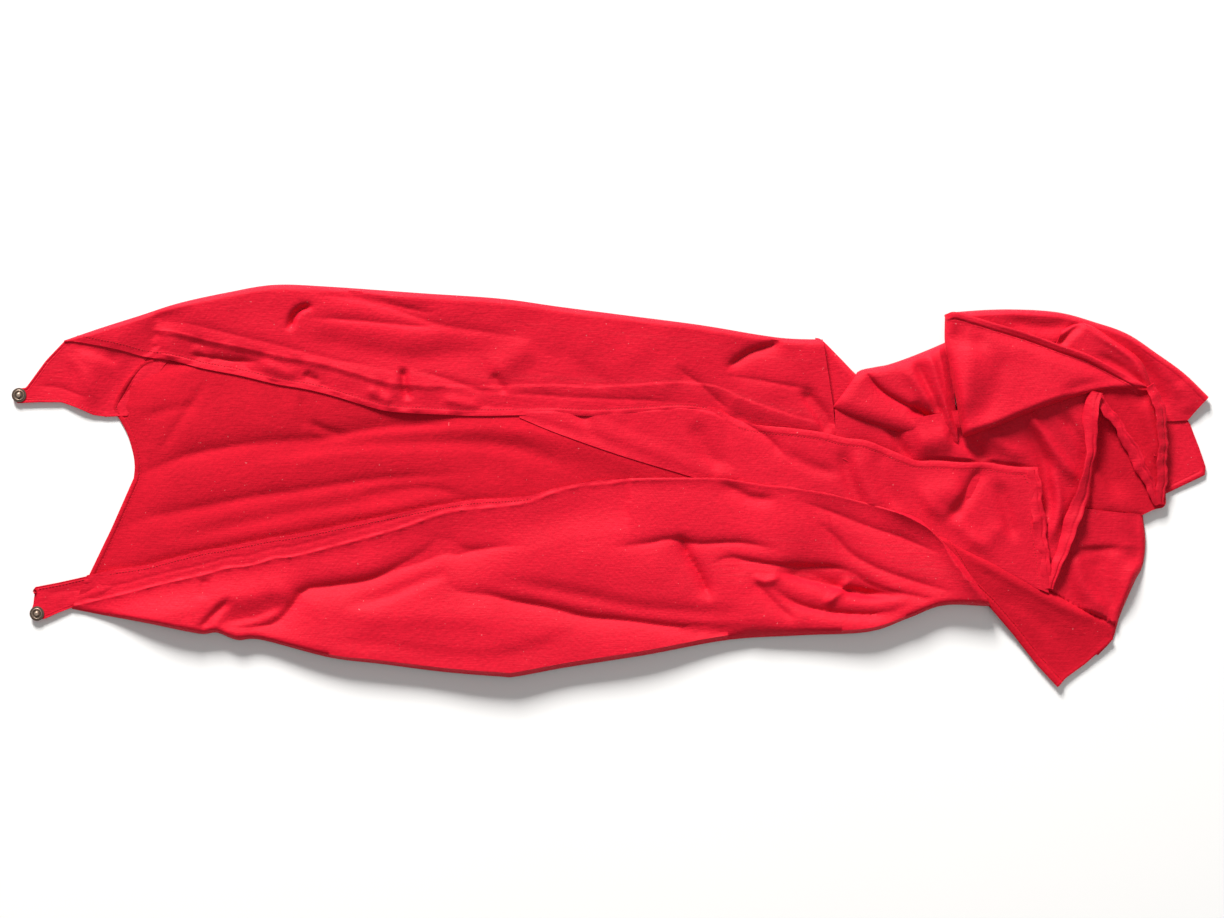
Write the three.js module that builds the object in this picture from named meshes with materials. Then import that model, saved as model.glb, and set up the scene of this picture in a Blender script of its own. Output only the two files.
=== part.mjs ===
// Superhero cape laid flat on its back, with both fronts folded in over the back panel
// and the hem end drawn together in loose folds. Neck end at -X, hem end at +X, the
// wearer's left at +Y. Millimetres, +Z up, floor at z = 0.
import * as THREE from 'three';

// Overall size of the cape as it lies
const LAID_LENGTH = 1315;
const LAID_WIDTH = 442;

// Cloth as it lies: the height that one loose layer or fold takes up
const BACK_LOFT = 4;
const FLAP_LOFT = 6.7;
const FRONT_EDGE_LOFT = 2;
const HEM_LOFT = 1.5;
const PLEAT_LOFT = 5;
const LUMP_LOFT = 18;
const RIDGE_LOFT = 13;
const FAN_LOFT = 29;
const ARC_LOFT = 9;
const INNER_ARC_LOFT = 14;
const TURN_LOFT = 21;
const SIDE_LOFT = 5;
const INNER_PANEL_LOFT = 7;
const TWIST_LOFT = 25;
const VALLEY_LOFT = 17;
const LOWER_FOLD_LOFT = 8;
const LEFT_CORNER_LOFT = 6;
const RIGHT_CORNER_LOFT = 11;

// Sewn edges
const FACING_WIDTH = 33;
const FACING_LOFT = 1.2;
const HEM_WIDTH = 11;
const NECK_HEM_WIDTH = 8;

// Neck tabs: two plies with an interfacing patch between them
const PLY = 0.8;
const INTERFACING = 0.4;
const INTERFACING_MARGIN = 2;
const TAB_TIP_RADIUS = 6.5;

// Press-stud halves
const SNAP_RADIUS = 8;
const FLANGE = 1;
const RIM_RADIUS = 5.4;
const RIM_HEIGHT = 0.7;
const NUB_RADIUS = 2.4;
const NUB_HEIGHT = 2.4;
const CAP_RADIUS = 7.2;
const CAP = 1.2;
const POST_RADIUS = 1.6;
const POST_REACH = 1.6;

// Gaps
const CLEARANCE = 0.3;
const SWING_CLEARANCE = 1.2;
const LEAST_LIFTED_WIDTH = 6;

const CLOTH = { color: 0xd81c30, roughness: 0.62, metalness: 0 };
const CLOTH_INSIDE = { color: 0xc21629, roughness: 0.8, metalness: 0 };
const BRONZE = { color: 0x4a3a2c, roughness: 0.35, metalness: 0.9 };
const FELT = { color: 0xe8e4dc, roughness: 0.9, metalness: 0 };

const cape = new THREE.Group();

// A spot on the cloth, in hundredths of the laid length and width from the middle
function spot([along, across]) {
  return new THREE.Vector2((along / 100) * LAID_LENGTH, (across / 100) * LAID_WIDTH);
}

function line(...shares) {
  return shares.map(spot);
}

// A curve through the spots, as evenly spaced points
function smooth(count, ...shares) {
  return new THREE.SplineCurve(shares.map(spot)).getSpacedPoints(count);
}

// Joins edges end to end into one closed outline, dropping points that repeat
function outline(...edges) {
  const points = edges.flat();
  return points.filter((point, i) => point.distanceTo(points.at(i - 1)) > 0.5);
}

// The unit vector square to a direction, on its left
function leftOf(direction) {
  return new THREE.Vector2(-direction.y, direction.x).normalize();
}

// Moves every side of an outline inwards by a distance
function inset(points, distance) {
  const turn = THREE.ShapeUtils.isClockWise(points) ? -1 : 1;
  return points.map((point, i) => {
    const before = leftOf(point.clone().sub(points.at(i - 1)));
    const after = leftOf(points[(i + 1) % points.length].clone().sub(point));
    const mitre = before.clone().add(after).normalize();
    const reach = distance / Math.max(mitre.dot(before), 0.35);
    return point.clone().addScaledVector(mitre, turn * reach);
  });
}

// The strip of a given width along an open edge, on its left (or right when negative)
function strip(edge, width) {
  const inner = edge.map((point, i) => {
    const from = edge[Math.max(i - 1, 0)];
    const to = edge[Math.min(i + 1, edge.length - 1)];
    return point.clone().addScaledVector(leftOf(to.clone().sub(from)), width);
  });
  return [...edge, ...inner.reverse()];
}

// Adds a flat piece of cloth that stands on z = bottom
function addCloth(name, points, bottom, height, finish = CLOTH, hole = null) {
  const shape = new THREE.Shape(points);
  if (hole) {
    shape.holes.push(hole);
  }
  const geometry = new THREE.ExtrudeGeometry(shape, { depth: height, bevelEnabled: false });
  const mesh = new THREE.Mesh(geometry, new THREE.MeshStandardMaterial(finish));
  mesh.name = name;
  mesh.position.z = bottom;
  cape.add(mesh);
}

// Adds a cloth piece that shares its outline with its neighbours, less half the gap
function addFold(name, points, height, gap = CLEARANCE) {
  addCloth(name, inset(points, gap / 2), BACK_TOP + CLEARANCE, height);
}

const BACK_TOP = BACK_LOFT;
const FOLD_BOTTOM = BACK_TOP + CLEARANCE;

// ---- Edges that the pieces share ----
const leftFold = smooth(28, [-45.6, 36.1], [-42.7, 39.1], [-36, 45.5], [-31.8, 48.3], [-28, 49.9],
  [-23.5, 49.6], [-4.2, 44.5], [7.5, 40], [15, 36.7], [17.5, 36.3]);
const rightFold = smooth(30, [-44.8, -30.1], [-38.5, -34.1], [-29.2, -38.3], [-23.5, -42.5],
  [-13.9, -46], [-8.6, -47.4], [3.1, -41.8], [9.8, -38.3], [21.5, -36], [27.8, -29.8], [31.4, -29.6]);
const scoop = smooth(16, [-41.9, 19.2], [-40.3, 12.4], [-39.9, 5.2], [-40.1, -1], [-41.2, -8.2],
  [-43.7, -22.6]);
const leftFrontEdge = smooth(30, [-45.6, 36.1], [-41.2, 33.8], [-30.9, 27.4], [-20, 19.6],
  [-15.9, 17.9], [-1.4, 17.4], [6.7, 18.6]);
const leftTurnEdge = smooth(5, [6.7, 18.6], [9.3, 16.7], [12.1, 13.7]);
const rightFrontEdge = smooth(34, [-43.7, -22.6], [-33.8, -15.9], [-19.3, -7.7], [-5.8, -1.2],
  [0, 1.4], [8.7, 1.5], [18.2, -2], [22.9, -5.7], [27.4, -12.4]);
const tabRootEdge = smooth(8, [-41.9, 19.2], [-41.2, 22.4], [-40.3, 27.1], [-38.1, 32.1]);
const shoulder = spot([-36.2, 45.4]);
const neckCorner = spot([-45.6, 36.1]);

const leftCornerTop = line([12.1, 13.7], [14.9, 14.4], [17.7, 13.4], [21.4, 11.2], [25.7, 6.2],
  [29.3, 6.1], [35.5, 4.7]);
const leftCornerSide = line([35.5, 4.7], [35.8, -9.5], [36.2, -20], [36.5, -25.9]);
const rightCornerTop = line([27.4, -12.4], [36.5, -25.9], [41.2, -33.1], [41.6, -39.1]);
const rightCornerSide = line([27.4, -12.4], [28.8, -19.7], [31.4, -29.6], [33.6, -36.6],
  [37.4, -50]);
const rightCornerEnd = line([37.4, -50], [39.7, -44], [41.6, -39.1]);

const pleatTop = spot([17.5, 36.3]);
const pleatFoot = spot([18.6, 19.4]);
const pleatCrest = spot([20.7, 28]);
const lumpEdge = line([18.6, 19.4], [22.9, 14.9], [24.9, 13.2], [25.7, 6.2]);
const ridgeBack = line([20.7, 28], [23.4, 30.3], [27.8, 35.3]);
const fanBack = line([27.8, 42.3], [27.8, 35.3], [28.2, 25.1], [29.3, 11.9]);
const fanFoot = line([29.3, 11.9], [32.3, 14.9], [36, 19.4], [39.7, 22.9]);
const fanTip = spot([44.2, 24.4]);
const fanTop = line([27.8, 42.3], [33.3, 37.6], [38.9, 31.6], [44.2, 24.4]);
const outerArc = smooth(16, [27.8, 42.3], [30.5, 43.6], [37.3, 43.3], [43.2, 37.8], [47, 30.4],
  [50, 22.1]);
const arcSplit = 7;
const innerArc = smooth(6, [39.5, 40.5], [42.2, 35.6], [44.2, 31.1], [45.1, 24.4]);
const sideOuter = line([50, 22.1], [48.1, 16.7], [48.7, 13.4], [49.7, 4.7], [49.7, 2.7],
  [46.3, -1.7]);
const turnOuter = line([45.1, 24.4], [45.8, 16.7], [46.2, 8.2], [46.3, -1.7], [45.8, -4.5]);
const turnInner = line([40.7, 21.4], [43, 11.2], [44.7, 1], [45.8, -4.5]);
const innerPanelFoot = line([45.8, -4.5], [44, -7.2], [39.3, -6.7]);
const twistRight = line([40.7, 21.4], [40.2, 11.9], [39.5, 1], [39.3, -6.7], [38.5, -13.4],
  [36.5, -25.9]);
const twistLeft = line([39.7, 22.9], [39.3, 13.9], [38.7, 1], [37.6, -8.7], [36.5, -25.9]);
const lowerFoldOuter = line([44, -7.2], [44.7, -13.7], [44.5, -19.7], [43.1, -27.9],
  [41.6, -39.1]);

// ---- Front edges: the part of each front that lifts off the back about a straight line ----

// Splits an edge at a chord between its ends. Gives the lifting part between the chord
// and the edge, its facing, and what stays down beside the chord.
function liftingFront(edge, side) {
  const from = edge[0];
  const to = edge.at(-1);
  const along = to.clone().sub(from).normalize();
  const away = leftOf(along).multiplyScalar(side);
  const widthAt = (point) => point.clone().sub(from).dot(away);
  const footOf = (point) => point.clone().addScaledVector(away, -widthAt(point));
  const wide = edge.filter((point) => widthAt(point) >= LEAST_LIFTED_WIDTH);
  const first = edge.indexOf(wide[0]);
  const last = edge.indexOf(wide.at(-1));
  const facingInner = wide.map((point) => {
    const width = Math.min(FACING_WIDTH, widthAt(point) - 2 * CLEARANCE);
    return point.clone().addScaledVector(away, -width);
  });
  return {
    lifted: [footOf(wide[0]), ...wide, footOf(wide.at(-1))],
    facing: [...wide, ...facingInner.reverse()],
    fixedEdge: [...edge.slice(0, first), wide[0], footOf(wide[0]), footOf(wide.at(-1)),
      wide.at(-1), ...edge.slice(last + 1)],
  };
}

const leftFront = liftingFront(leftFrontEdge, -1);
const rightFront = liftingFront(rightFrontEdge, 1);

// ---- Back panel: the lowest layer, from the neck scoop to the hem ----
const backEnd = [...outerArc, ...sideOuter, ...innerPanelFoot.slice(0, 2), ...lowerFoldOuter];
const backOutline = outline(tabRootEdge, [shoulder], leftFold.filter((p) => p.x > shoulder.x),
  [pleatCrest], ridgeBack, backEnd, [...rightCornerEnd].reverse(),
  [...rightCornerSide].reverse().slice(0, 3), [...rightFold].reverse(),
  [...scoop].reverse());
addCloth('back_panel', inset(backOutline, CLEARANCE / 2), 0, BACK_LOFT, CLOTH_INSIDE);
addCloth('neckline_hem', inset(strip(scoop.slice(0, -1), NECK_HEM_WIDTH), CLEARANCE),
  FOLD_BOTTOM, FACING_LOFT, CLOTH_INSIDE);

// ---- Left front, with its lower corner turned over ----
addFold('left_front_flap', outline(leftFold, [pleatFoot], lumpEdge,
  leftCornerTop.slice(0, 4).reverse(), [...leftTurnEdge].reverse(),
  [...leftFront.fixedEdge].reverse()), FLAP_LOFT);
addFold('left_front_edge', leftFront.lifted, FRONT_EDGE_LOFT);
addCloth('left_front_facing', inset(leftFront.facing, CLEARANCE / 2),
  FOLD_BOTTOM + FRONT_EDGE_LOFT + CLEARANCE, FACING_LOFT, CLOTH_INSIDE);
const creaseTip = leftFrontEdge.findIndex((point) => point.x > spot([-4.2, 0]).x);
const leftCornerBottom = rightFrontEdge.filter((point) => point.x > spot([8.7, 0]).x);
addFold('left_front_corner', outline(leftFrontEdge.slice(creaseTip), leftTurnEdge,
  leftCornerTop, leftCornerSide, [spot([32.3, -18.9])], [...leftCornerBottom].reverse()),
LEFT_CORNER_LOFT, 2 * SWING_CLEARANCE);
const cornerTop = FOLD_BOTTOM + LEFT_CORNER_LOFT + CLEARANCE;
addCloth('left_corner_front_hem', inset(strip(leftCornerTop.slice(1, -1), -HEM_WIDTH),
  SWING_CLEARANCE), cornerTop, HEM_LOFT, CLOTH_INSIDE);
addCloth('left_corner_bottom_hem', inset(strip(leftCornerSide.slice(0, 3), -HEM_WIDTH), SWING_CLEARANCE),
  cornerTop, HEM_LOFT, CLOTH_INSIDE);

// ---- Right front, with its lower corner on top of the hem folds ----
addFold('right_front_flap', outline(rightFold, [...rightCornerSide].slice(0, 3).reverse(),
  [...rightFront.fixedEdge].reverse()), FLAP_LOFT);
addFold('right_front_edge', rightFront.lifted, FRONT_EDGE_LOFT);
addCloth('right_front_facing', inset(rightFront.facing, CLEARANCE / 2),
  FOLD_BOTTOM + FRONT_EDGE_LOFT + CLEARANCE, FACING_LOFT, CLOTH_INSIDE);
addFold('right_front_corner', outline(rightCornerTop, [...rightCornerEnd].reverse(),
  [...rightCornerSide].reverse()), RIGHT_CORNER_LOFT);
const rightCornerTopZ = FOLD_BOTTOM + RIGHT_CORNER_LOFT + CLEARANCE;
addCloth('right_corner_front_hem', inset(strip(rightCornerSide.slice(1), HEM_WIDTH), CLEARANCE),
  rightCornerTopZ, HEM_LOFT, CLOTH_INSIDE);

// ---- Hem end: the folds that the bottom of the cape is drawn into ----
addFold('side_pleat', outline([pleatTop, pleatCrest, pleatFoot]), PLEAT_LOFT);
addFold('side_lump', outline([pleatCrest], lumpEdge.slice(0, 3), [spot([25.4, 20.4])]),
  LUMP_LOFT);
addFold('side_ridge', outline(ridgeBack, fanBack.slice(1), [spot([29.3, 6.2])],
  lumpEdge.slice(2).reverse(), [spot([25.4, 20.4])]), RIDGE_LOFT);
addFold('hem_fan', outline(fanTop, [...fanFoot].reverse(), [...fanBack].reverse()), FAN_LOFT);
addCloth('hem_fan_hem', inset(strip(fanTop, -HEM_WIDTH), 2 * CLEARANCE),
  FOLD_BOTTOM + FAN_LOFT + CLEARANCE, HEM_LOFT, CLOTH_INSIDE);
addFold('hem_arc_inner', outline(outerArc.slice(0, arcSplit + 1), innerArc,
  [...fanTop].reverse()), INNER_ARC_LOFT);
addFold('hem_arc_outer', outline(outerArc.slice(arcSplit), [sideOuter[1], turnOuter[1]],
  [...innerArc].reverse()), ARC_LOFT);
addFold('hem_turn', outline([fanTip], turnOuter, [...turnInner].reverse()), TURN_LOFT);
addCloth('hem_turn_hem', inset(strip(turnInner.slice(1), HEM_WIDTH), 2 * CLEARANCE),
  FOLD_BOTTOM + TURN_LOFT + CLEARANCE, HEM_LOFT, CLOTH_INSIDE);
addFold('hem_side_fold', outline(sideOuter.slice(1), turnOuter.slice(1, 4).reverse()),
  SIDE_LOFT);
addFold('hem_inner_panel', outline(turnInner, innerPanelFoot, twistRight.slice(1, 3).reverse()),
  INNER_PANEL_LOFT);
addFold('hem_twist', outline(twistRight, [...twistLeft].reverse()), TWIST_LOFT);
addFold('hem_valley_folds', outline(fanFoot, twistLeft, [...leftCornerSide].reverse(),
  [spot([29.3, 6.1])]), VALLEY_LOFT);
addFold('hem_lower_fold', outline(innerPanelFoot.slice(1), twistRight.slice(3),
  rightCornerTop.slice(1), [...lowerFoldOuter].reverse()), LOWER_FOLD_LOFT);

// ---- Neck tabs with their press-stud halves ----
const tabBottom = CAP + CLEARANCE;
const interfacingBottom = tabBottom + PLY + CLEARANCE;
const upperPlyBottom = interfacingBottom + INTERFACING + CLEARANCE;
const tabTop = upperPlyBottom + PLY;

// A tab's outline: its edge up to the rounded tip round the snap, then back to the fold
function tabOutline(start, end, centre, fromDegrees, toDegrees) {
  const tip = new THREE.EllipseCurve(centre.x, centre.y, TAB_TIP_RADIUS, TAB_TIP_RADIUS,
    THREE.MathUtils.degToRad(fromDegrees), THREE.MathUtils.degToRad(toDegrees), false);
  return [...start, ...tip.getPoints(12), ...end];
}

function postHole(centre) {
  return new THREE.Path().absarc(centre.x, centre.y, POST_RADIUS + CLEARANCE, 0, 2 * Math.PI);
}

// Adds a turned metal piece from a profile of [radius, height] corners
function addTurned(name, centre, bottom, corners) {
  const profile = corners.map(([radius, height]) => new THREE.Vector2(radius, height));
  const geometry = new THREE.LatheGeometry(profile, 32).rotateX(Math.PI / 2);
  const mesh = new THREE.Mesh(geometry, new THREE.MeshStandardMaterial(BRONZE));
  mesh.name = name;
  mesh.position.set(centre.x, centre.y, bottom);
  cape.add(mesh);
}

function addTab(side, points, centre) {
  const body = inset(points, CLEARANCE / 2);
  addCloth(`${side}_tab_lower_ply`, body, tabBottom, PLY, CLOTH, postHole(centre));
  addCloth(`${side}_tab_interfacing`, inset(points, INTERFACING_MARGIN), interfacingBottom,
    INTERFACING, FELT, postHole(centre));
  addCloth(`${side}_tab_upper_ply`, body, upperPlyBottom, PLY, CLOTH_INSIDE, postHole(centre));
  const studBottom = tabTop + CLEARANCE;
  const cavity = POST_REACH + CLEARANCE;
  addTurned(`${side}_snap_stud`, centre, studBottom, [
    [POST_RADIUS + CLEARANCE, 0], [SNAP_RADIUS, 0], [SNAP_RADIUS, FLANGE],
    [RIM_RADIUS + 0.6, FLANGE], [RIM_RADIUS, FLANGE + RIM_HEIGHT],
    [RIM_RADIUS - 0.8, FLANGE + RIM_HEIGHT], [RIM_RADIUS - 1.4, FLANGE],
    [NUB_RADIUS + 0.3, FLANGE], [NUB_RADIUS, FLANGE + NUB_HEIGHT * 0.7],
    [NUB_RADIUS * 0.6, FLANGE + NUB_HEIGHT], [0, FLANGE + NUB_HEIGHT],
    [0, cavity], [POST_RADIUS + CLEARANCE, cavity], [POST_RADIUS + CLEARANCE, 0],
  ]);
  const postTop = studBottom + POST_REACH;
  addTurned(`${side}_snap_cap`, centre, 0, [
    [0, 0], [CAP_RADIUS - 0.5, 0], [CAP_RADIUS, 0.5], [CAP_RADIUS, CAP],
    [POST_RADIUS, CAP], [POST_RADIUS, postTop], [0, postTop],
  ]);
}

const leftSnap = spot([-49.4, 22.6]);
const leftTabFoot = line([-49.2, 21.1], [-45.9, 20.9], [-44.6, 19.4], [-43.2, 17.7],
  [-42.7, 17.4]);
addTab('left', tabOutline([neckCorner, spot([-47.2, 31.1]), spot([-48.8, 24.4])],
  leftTabFoot, leftSnap, 47, 270), leftSnap);
addCloth('left_tab_root', inset(outline([neckCorner, spot([-42.7, 17.4]), spot([-42, 17.2])],
  tabRootEdge, [shoulder], leftFold.filter((p) => p.x < shoulder.x).reverse()),
CLEARANCE / 2), 0, BACK_LOFT);

const rightSnap = spot([-47.9, -31.7]);
addTab('right', tabOutline([spot([-43.7, -22.6]), spot([-48.1, -25.1]), spot([-48, -29.4])],
  [spot([-47.2, -32.7]), rightFold[0]], rightSnap, 100, 310), rightSnap);

export default cape;
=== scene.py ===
"""A superhero cape of red stretch knit, laid flat: its fronts folded in, its hem end in loose folds."""

import math

import bpy
import numpy as np
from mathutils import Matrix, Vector


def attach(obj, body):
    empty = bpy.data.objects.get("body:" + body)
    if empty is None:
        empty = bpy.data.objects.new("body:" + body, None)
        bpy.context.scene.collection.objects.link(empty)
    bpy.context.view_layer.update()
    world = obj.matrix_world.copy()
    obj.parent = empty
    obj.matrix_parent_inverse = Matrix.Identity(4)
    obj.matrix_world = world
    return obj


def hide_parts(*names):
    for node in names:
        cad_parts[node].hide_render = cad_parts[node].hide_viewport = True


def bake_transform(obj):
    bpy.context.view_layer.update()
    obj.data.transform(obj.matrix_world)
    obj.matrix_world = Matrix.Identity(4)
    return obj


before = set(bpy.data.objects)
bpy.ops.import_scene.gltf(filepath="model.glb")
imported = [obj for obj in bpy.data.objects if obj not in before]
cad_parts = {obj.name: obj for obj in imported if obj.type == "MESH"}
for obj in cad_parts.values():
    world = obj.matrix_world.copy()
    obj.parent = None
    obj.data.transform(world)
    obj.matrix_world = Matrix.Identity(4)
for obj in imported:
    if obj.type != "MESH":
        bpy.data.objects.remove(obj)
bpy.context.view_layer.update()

# ---- Camera, light and floor: a plain pale table seen from straight above ----

VIEW_WIDTH = 1.3464
CAMERA_HEIGHT = 3.0
SENSOR = 36.0

camera_data = bpy.data.cameras.new("camera")
camera_data.sensor_width = SENSOR
camera_data.lens = SENSOR * CAMERA_HEIGHT / VIEW_WIDTH
camera = bpy.data.objects.new("camera", camera_data)
camera.location = (0.0017, 0.0297, CAMERA_HEIGHT)
bpy.context.scene.collection.objects.link(camera)
bpy.context.scene.camera = camera
bpy.context.scene.view_settings.view_transform = "Standard"


def lamp(name, place, size, power, colour):
    """A square soft light that faces the middle of the cape."""
    data = bpy.data.lights.new(name, "AREA")
    data.size = size
    data.energy = power
    data.color = colour
    light = bpy.data.objects.new(name, data)
    light.location = place
    light.rotation_euler = Vector(place).to_track_quat("Z", "Y").to_euler()
    bpy.context.scene.collection.objects.link(light)


lamp("window", (-1.5, 5.4, 3.0), 1.7, 760.0, (1.0, 0.985, 0.96))
lamp("ceiling", (0.9, -0.2, 3.4), 2.4, 7.0, (1.0, 0.99, 0.98))
lamp("side", (2.2, -1.4, 1.9), 1.4, 4.0, (1.0, 0.96, 0.94))

world = bpy.data.worlds.new("room")
world.use_nodes = True
world.node_tree.nodes["Background"].inputs["Color"].default_value = (1.0, 0.99, 0.985, 1.0)
world.node_tree.nodes["Background"].inputs["Strength"].default_value = 0.27
bpy.context.scene.world = world


class Signal:
    """One output of a node, on which sums and products add Math nodes."""

    def __init__(self, dye, socket):
        self.dye = dye
        self.socket = socket

    def _math(self, operation, first, second):
        return self.dye.node("ShaderNodeMath", {"operation": operation}, {0: first, 1: second})

    def __add__(self, other):
        return self._math("ADD", self, other)

    __radd__ = __add__

    def __mul__(self, other):
        return self._math("MULTIPLY", self, other)

    __rmul__ = __mul__

    def __sub__(self, other):
        return self._math("SUBTRACT", self, other)

    def __rsub__(self, other):
        return self._math("SUBTRACT", other, self)


class Dye:
    """A material whose nodes are made one by one, each with its settings and its inputs."""

    def __init__(self, name):
        self.material = bpy.data.materials.new(name)
        self.material.use_nodes = True
        self.tree = self.material.node_tree
        self.shader = self.tree.nodes["Principled BSDF"]

    def node(self, kind, settings, inputs, output=0):
        """Adds a node: settings first, ramp stops among them, then the values or links of its inputs."""
        made = self.tree.nodes.new(kind)
        for name, value in settings.items():
            if name == "stops":
                for at, shade in value:
                    stop = made.color_ramp.elements.new(at)
                    stop.color = (shade, shade, shade, 1.0)
                made.color_ramp.elements.remove(made.color_ramp.elements[0])
                made.color_ramp.elements.remove(made.color_ramp.elements[-1])
            else:
                setattr(made, name, value)
        for name, value in inputs.items():
            self._feed(made.inputs[name], value)
        return Signal(self, made.outputs[output])

    def _feed(self, socket, value):
        if isinstance(value, Signal):
            self.tree.links.new(value.socket, socket)
        else:
            socket.default_value = value

    def mix(self, share, first, second):
        """A colour between two colours."""
        settings = {"data_type": "RGBA", "blend_type": "MIX"}
        return self.node("ShaderNodeMix", settings, {0: share, 6: first, 7: second}, 2)

    def noise(self, place, scale, detail=2.0):
        return self.node("ShaderNodeTexNoise", {}, {"Vector": place, "Scale": scale, "Detail": detail})

    def finish(self, **inputs):
        """Sets or links the shader's own sockets, with _ for a space in a socket's name."""
        for name, value in inputs.items():
            self._feed(self.shader.inputs[name.replace("_", " ")], value)
        return self.material


def table_finish():
    """A pale painted surface with a very faint unevenness."""
    dye = Dye("pale_table")
    place = dye.node("ShaderNodeTexCoord", {}, {}, 3)
    tone = dye.noise(place, 3.0)
    colour = dye.mix(tone, (0.93, 0.93, 0.93, 1.0), (0.96, 0.96, 0.955, 1.0))
    return dye.finish(Base_Color=colour, Roughness=0.9)


REACH = 6
floor_mesh = bpy.data.meshes.new("table_top")
floor_corners = [(-REACH, -REACH, 0), (REACH, -REACH, 0), (REACH, REACH, 0), (-REACH, REACH, 0)]
floor_mesh.from_pydata(floor_corners, [], [(0, 1, 2, 3)])
floor_mesh.materials.append(table_finish())
floor = bpy.data.objects.new("table_top", floor_mesh)
bpy.context.scene.collection.objects.link(floor)

# ---- Back panel: the inside of the cape's back, one layer of matt red stretch knit ----
# Cut from one width of knit with a scooped neckline, which is turned in and stitched.
# It lies flat on the table with long soft creases that run from the neck to the hem.

MM = 0.001
PLY = 0.7 * MM
LIE = 0.4 * MM
SKIN = 0.1 * MM
NECK_HEM = 8 * MM


def route(*points, count=120):
    """Evenly spaced places in metres along a Catmull-Rom curve through points in millimetres."""
    p = np.array(points, float) * MM
    p = np.vstack([2 * p[0] - p[1], p, 2 * p[-1] - p[-2]])
    t = np.linspace(0, 1, 24, endpoint=False)[:, None]
    parts = [
        0.5 * (2 * b + (c - a) * t + (2 * a - 5 * b + 4 * c - d) * t**2 + (3 * b - a - 3 * c + d) * t**3)
        for a, b, c, d in zip(p[:-3], p[1:-2], p[2:-1], p[3:])
    ]
    return even(np.vstack([*parts, p[-2:-1]]), count)


def edge(*points, count=40):
    """Evenly spaced places in metres along straight lines through points in millimetres."""
    return even(np.array(points, float) * MM, count)


def even(places, count):
    """The same line with count places at equal steps along its length."""
    steps = np.linalg.norm(np.diff(places, axis=0), axis=1)
    run = np.concatenate([[0], np.cumsum(steps)])
    at = np.linspace(0, run[-1], count)
    return np.stack([np.interp(at, run, column) for column in places.T], axis=1)


def at_shares(line, shares):
    """The places of a line at the given shares of its length."""
    whole = np.linspace(0, 1, len(line))
    return np.stack([np.interp(shares, whole, column) for column in line.T], axis=1)


def heading(line):
    """The unit direction in which a line runs at each of its places."""
    ahead = np.gradient(line, axis=0)
    return ahead / np.linalg.norm(ahead, axis=1, keepdims=True)


def leftward(line):
    """The unit direction to the left of a line at each of its places."""
    ahead = heading(line)
    return np.stack([-ahead[:, 1], ahead[:, 0]], axis=1)


def offset(line, distance):
    """The line moved to its left by a distance."""
    return line + distance * leftward(line)


def ease(share):
    """0 below 0, 1 above 1, and a smooth turn between: 3 t squared less 2 t cubed."""
    t = np.clip(share, 0, 1)
    return t * t * (3 - 2 * t)


def ramp(place, start, run):
    """An ease from 0 at a start to 1 a run further on, both in millimetres; a run may be negative."""
    return ease((place - start * MM) / (run * MM))


def beside(x, y, line):
    """How far each place lies from a line, positive on its left, and how far along it is, 0 to 1."""
    a = line[:-1]
    d = np.diff(line, axis=0)
    px, py = x.reshape(-1, 1), y.reshape(-1, 1)
    t = np.clip(((px - a[:, 0]) * d[:, 0] + (py - a[:, 1]) * d[:, 1]) / (d**2).sum(1), 0, 1)
    gx, gy = px - a[:, 0] - t * d[:, 0], py - a[:, 1] - t * d[:, 1]
    square = gx**2 + gy**2
    near = square.argmin(1)
    pick = (np.arange(len(near)), near)
    side = np.sign(d[near, 0] * gy[pick] - d[near, 1] * gx[pick])
    distance = side * np.sqrt(square[pick])
    return distance.reshape(x.shape), ((near + t[pick]) / len(d)).reshape(x.shape)


def away(x, y, line):
    """The plain distance of each place from a line."""
    return np.abs(beside(x, y, line)[0])


def folds(x, y, rows):
    """The sum of many folds, each a ridge, or a valley where its height is negative.

    A row gives height, width on the left, width on the right, all in millimetres, and the places it
    runs through. The section is height times exp(-(d/w)^2), or exp(-|d|/w) where the widths are
    negative, and it fades to nothing over about a quarter of its length at both ends.
    """
    fade = 0.27
    total = np.zeros_like(x)
    for height, left, right, *points in rows:
        d, along = beside(x, y, route(*points, count=36))
        width = np.where(d > 0, abs(left), abs(right)) * MM
        section = np.exp(-np.abs(d) / width) if left < 0 else np.exp(-((d / width) ** 2))
        total += height * MM * section * ease(along / fade) * ease((1 - along) / fade)
    return total


def ripples(x, y, seed, size, height):
    """A sum of nine plane waves of random direction and phase, each about size across."""
    turn = 6.28
    random = np.random.default_rng(seed)
    total = np.zeros_like(x)
    for _ in range(9):
        angle, phase, stretch = random.uniform(0, turn), random.uniform(0, turn), random.uniform(0.6, 1.7)
        k = turn / (size * stretch)
        total += np.sin(k * (x * math.cos(angle) + y * math.sin(angle)) + phase)
    return total * height / 3


def rolled(distance, radius):
    """0 at a folded edge and 1 a radius inside it, along a quarter of an ellipse."""
    t = np.clip(distance / radius, 0, 1)
    return np.sqrt(1 - (1 - t) ** 2)


def hemmed(distance, width):
    """The added height of a turned and stitched hem: a second ply, and a groove where it is sewn."""
    ply = 1.1 * MM * ease((width - distance) / (1.4 * MM))
    seam = 1.2 * MM * np.exp(-(((distance - width + 2 * MM) / (1.1 * MM)) ** 2))
    lip = 0.6 * MM * np.exp(-((distance / (1.1 * MM)) ** 2))
    return ply - seam - lip


def between(low, high, share):
    """The height that lies a share of the way from low to high."""
    return low + (high - low) * share


def share_across(near, far):
    """0 at one edge of a cloth and 1 at the other, from its distances to the two."""
    return near / (near + far + 0.1 * MM)


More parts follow.
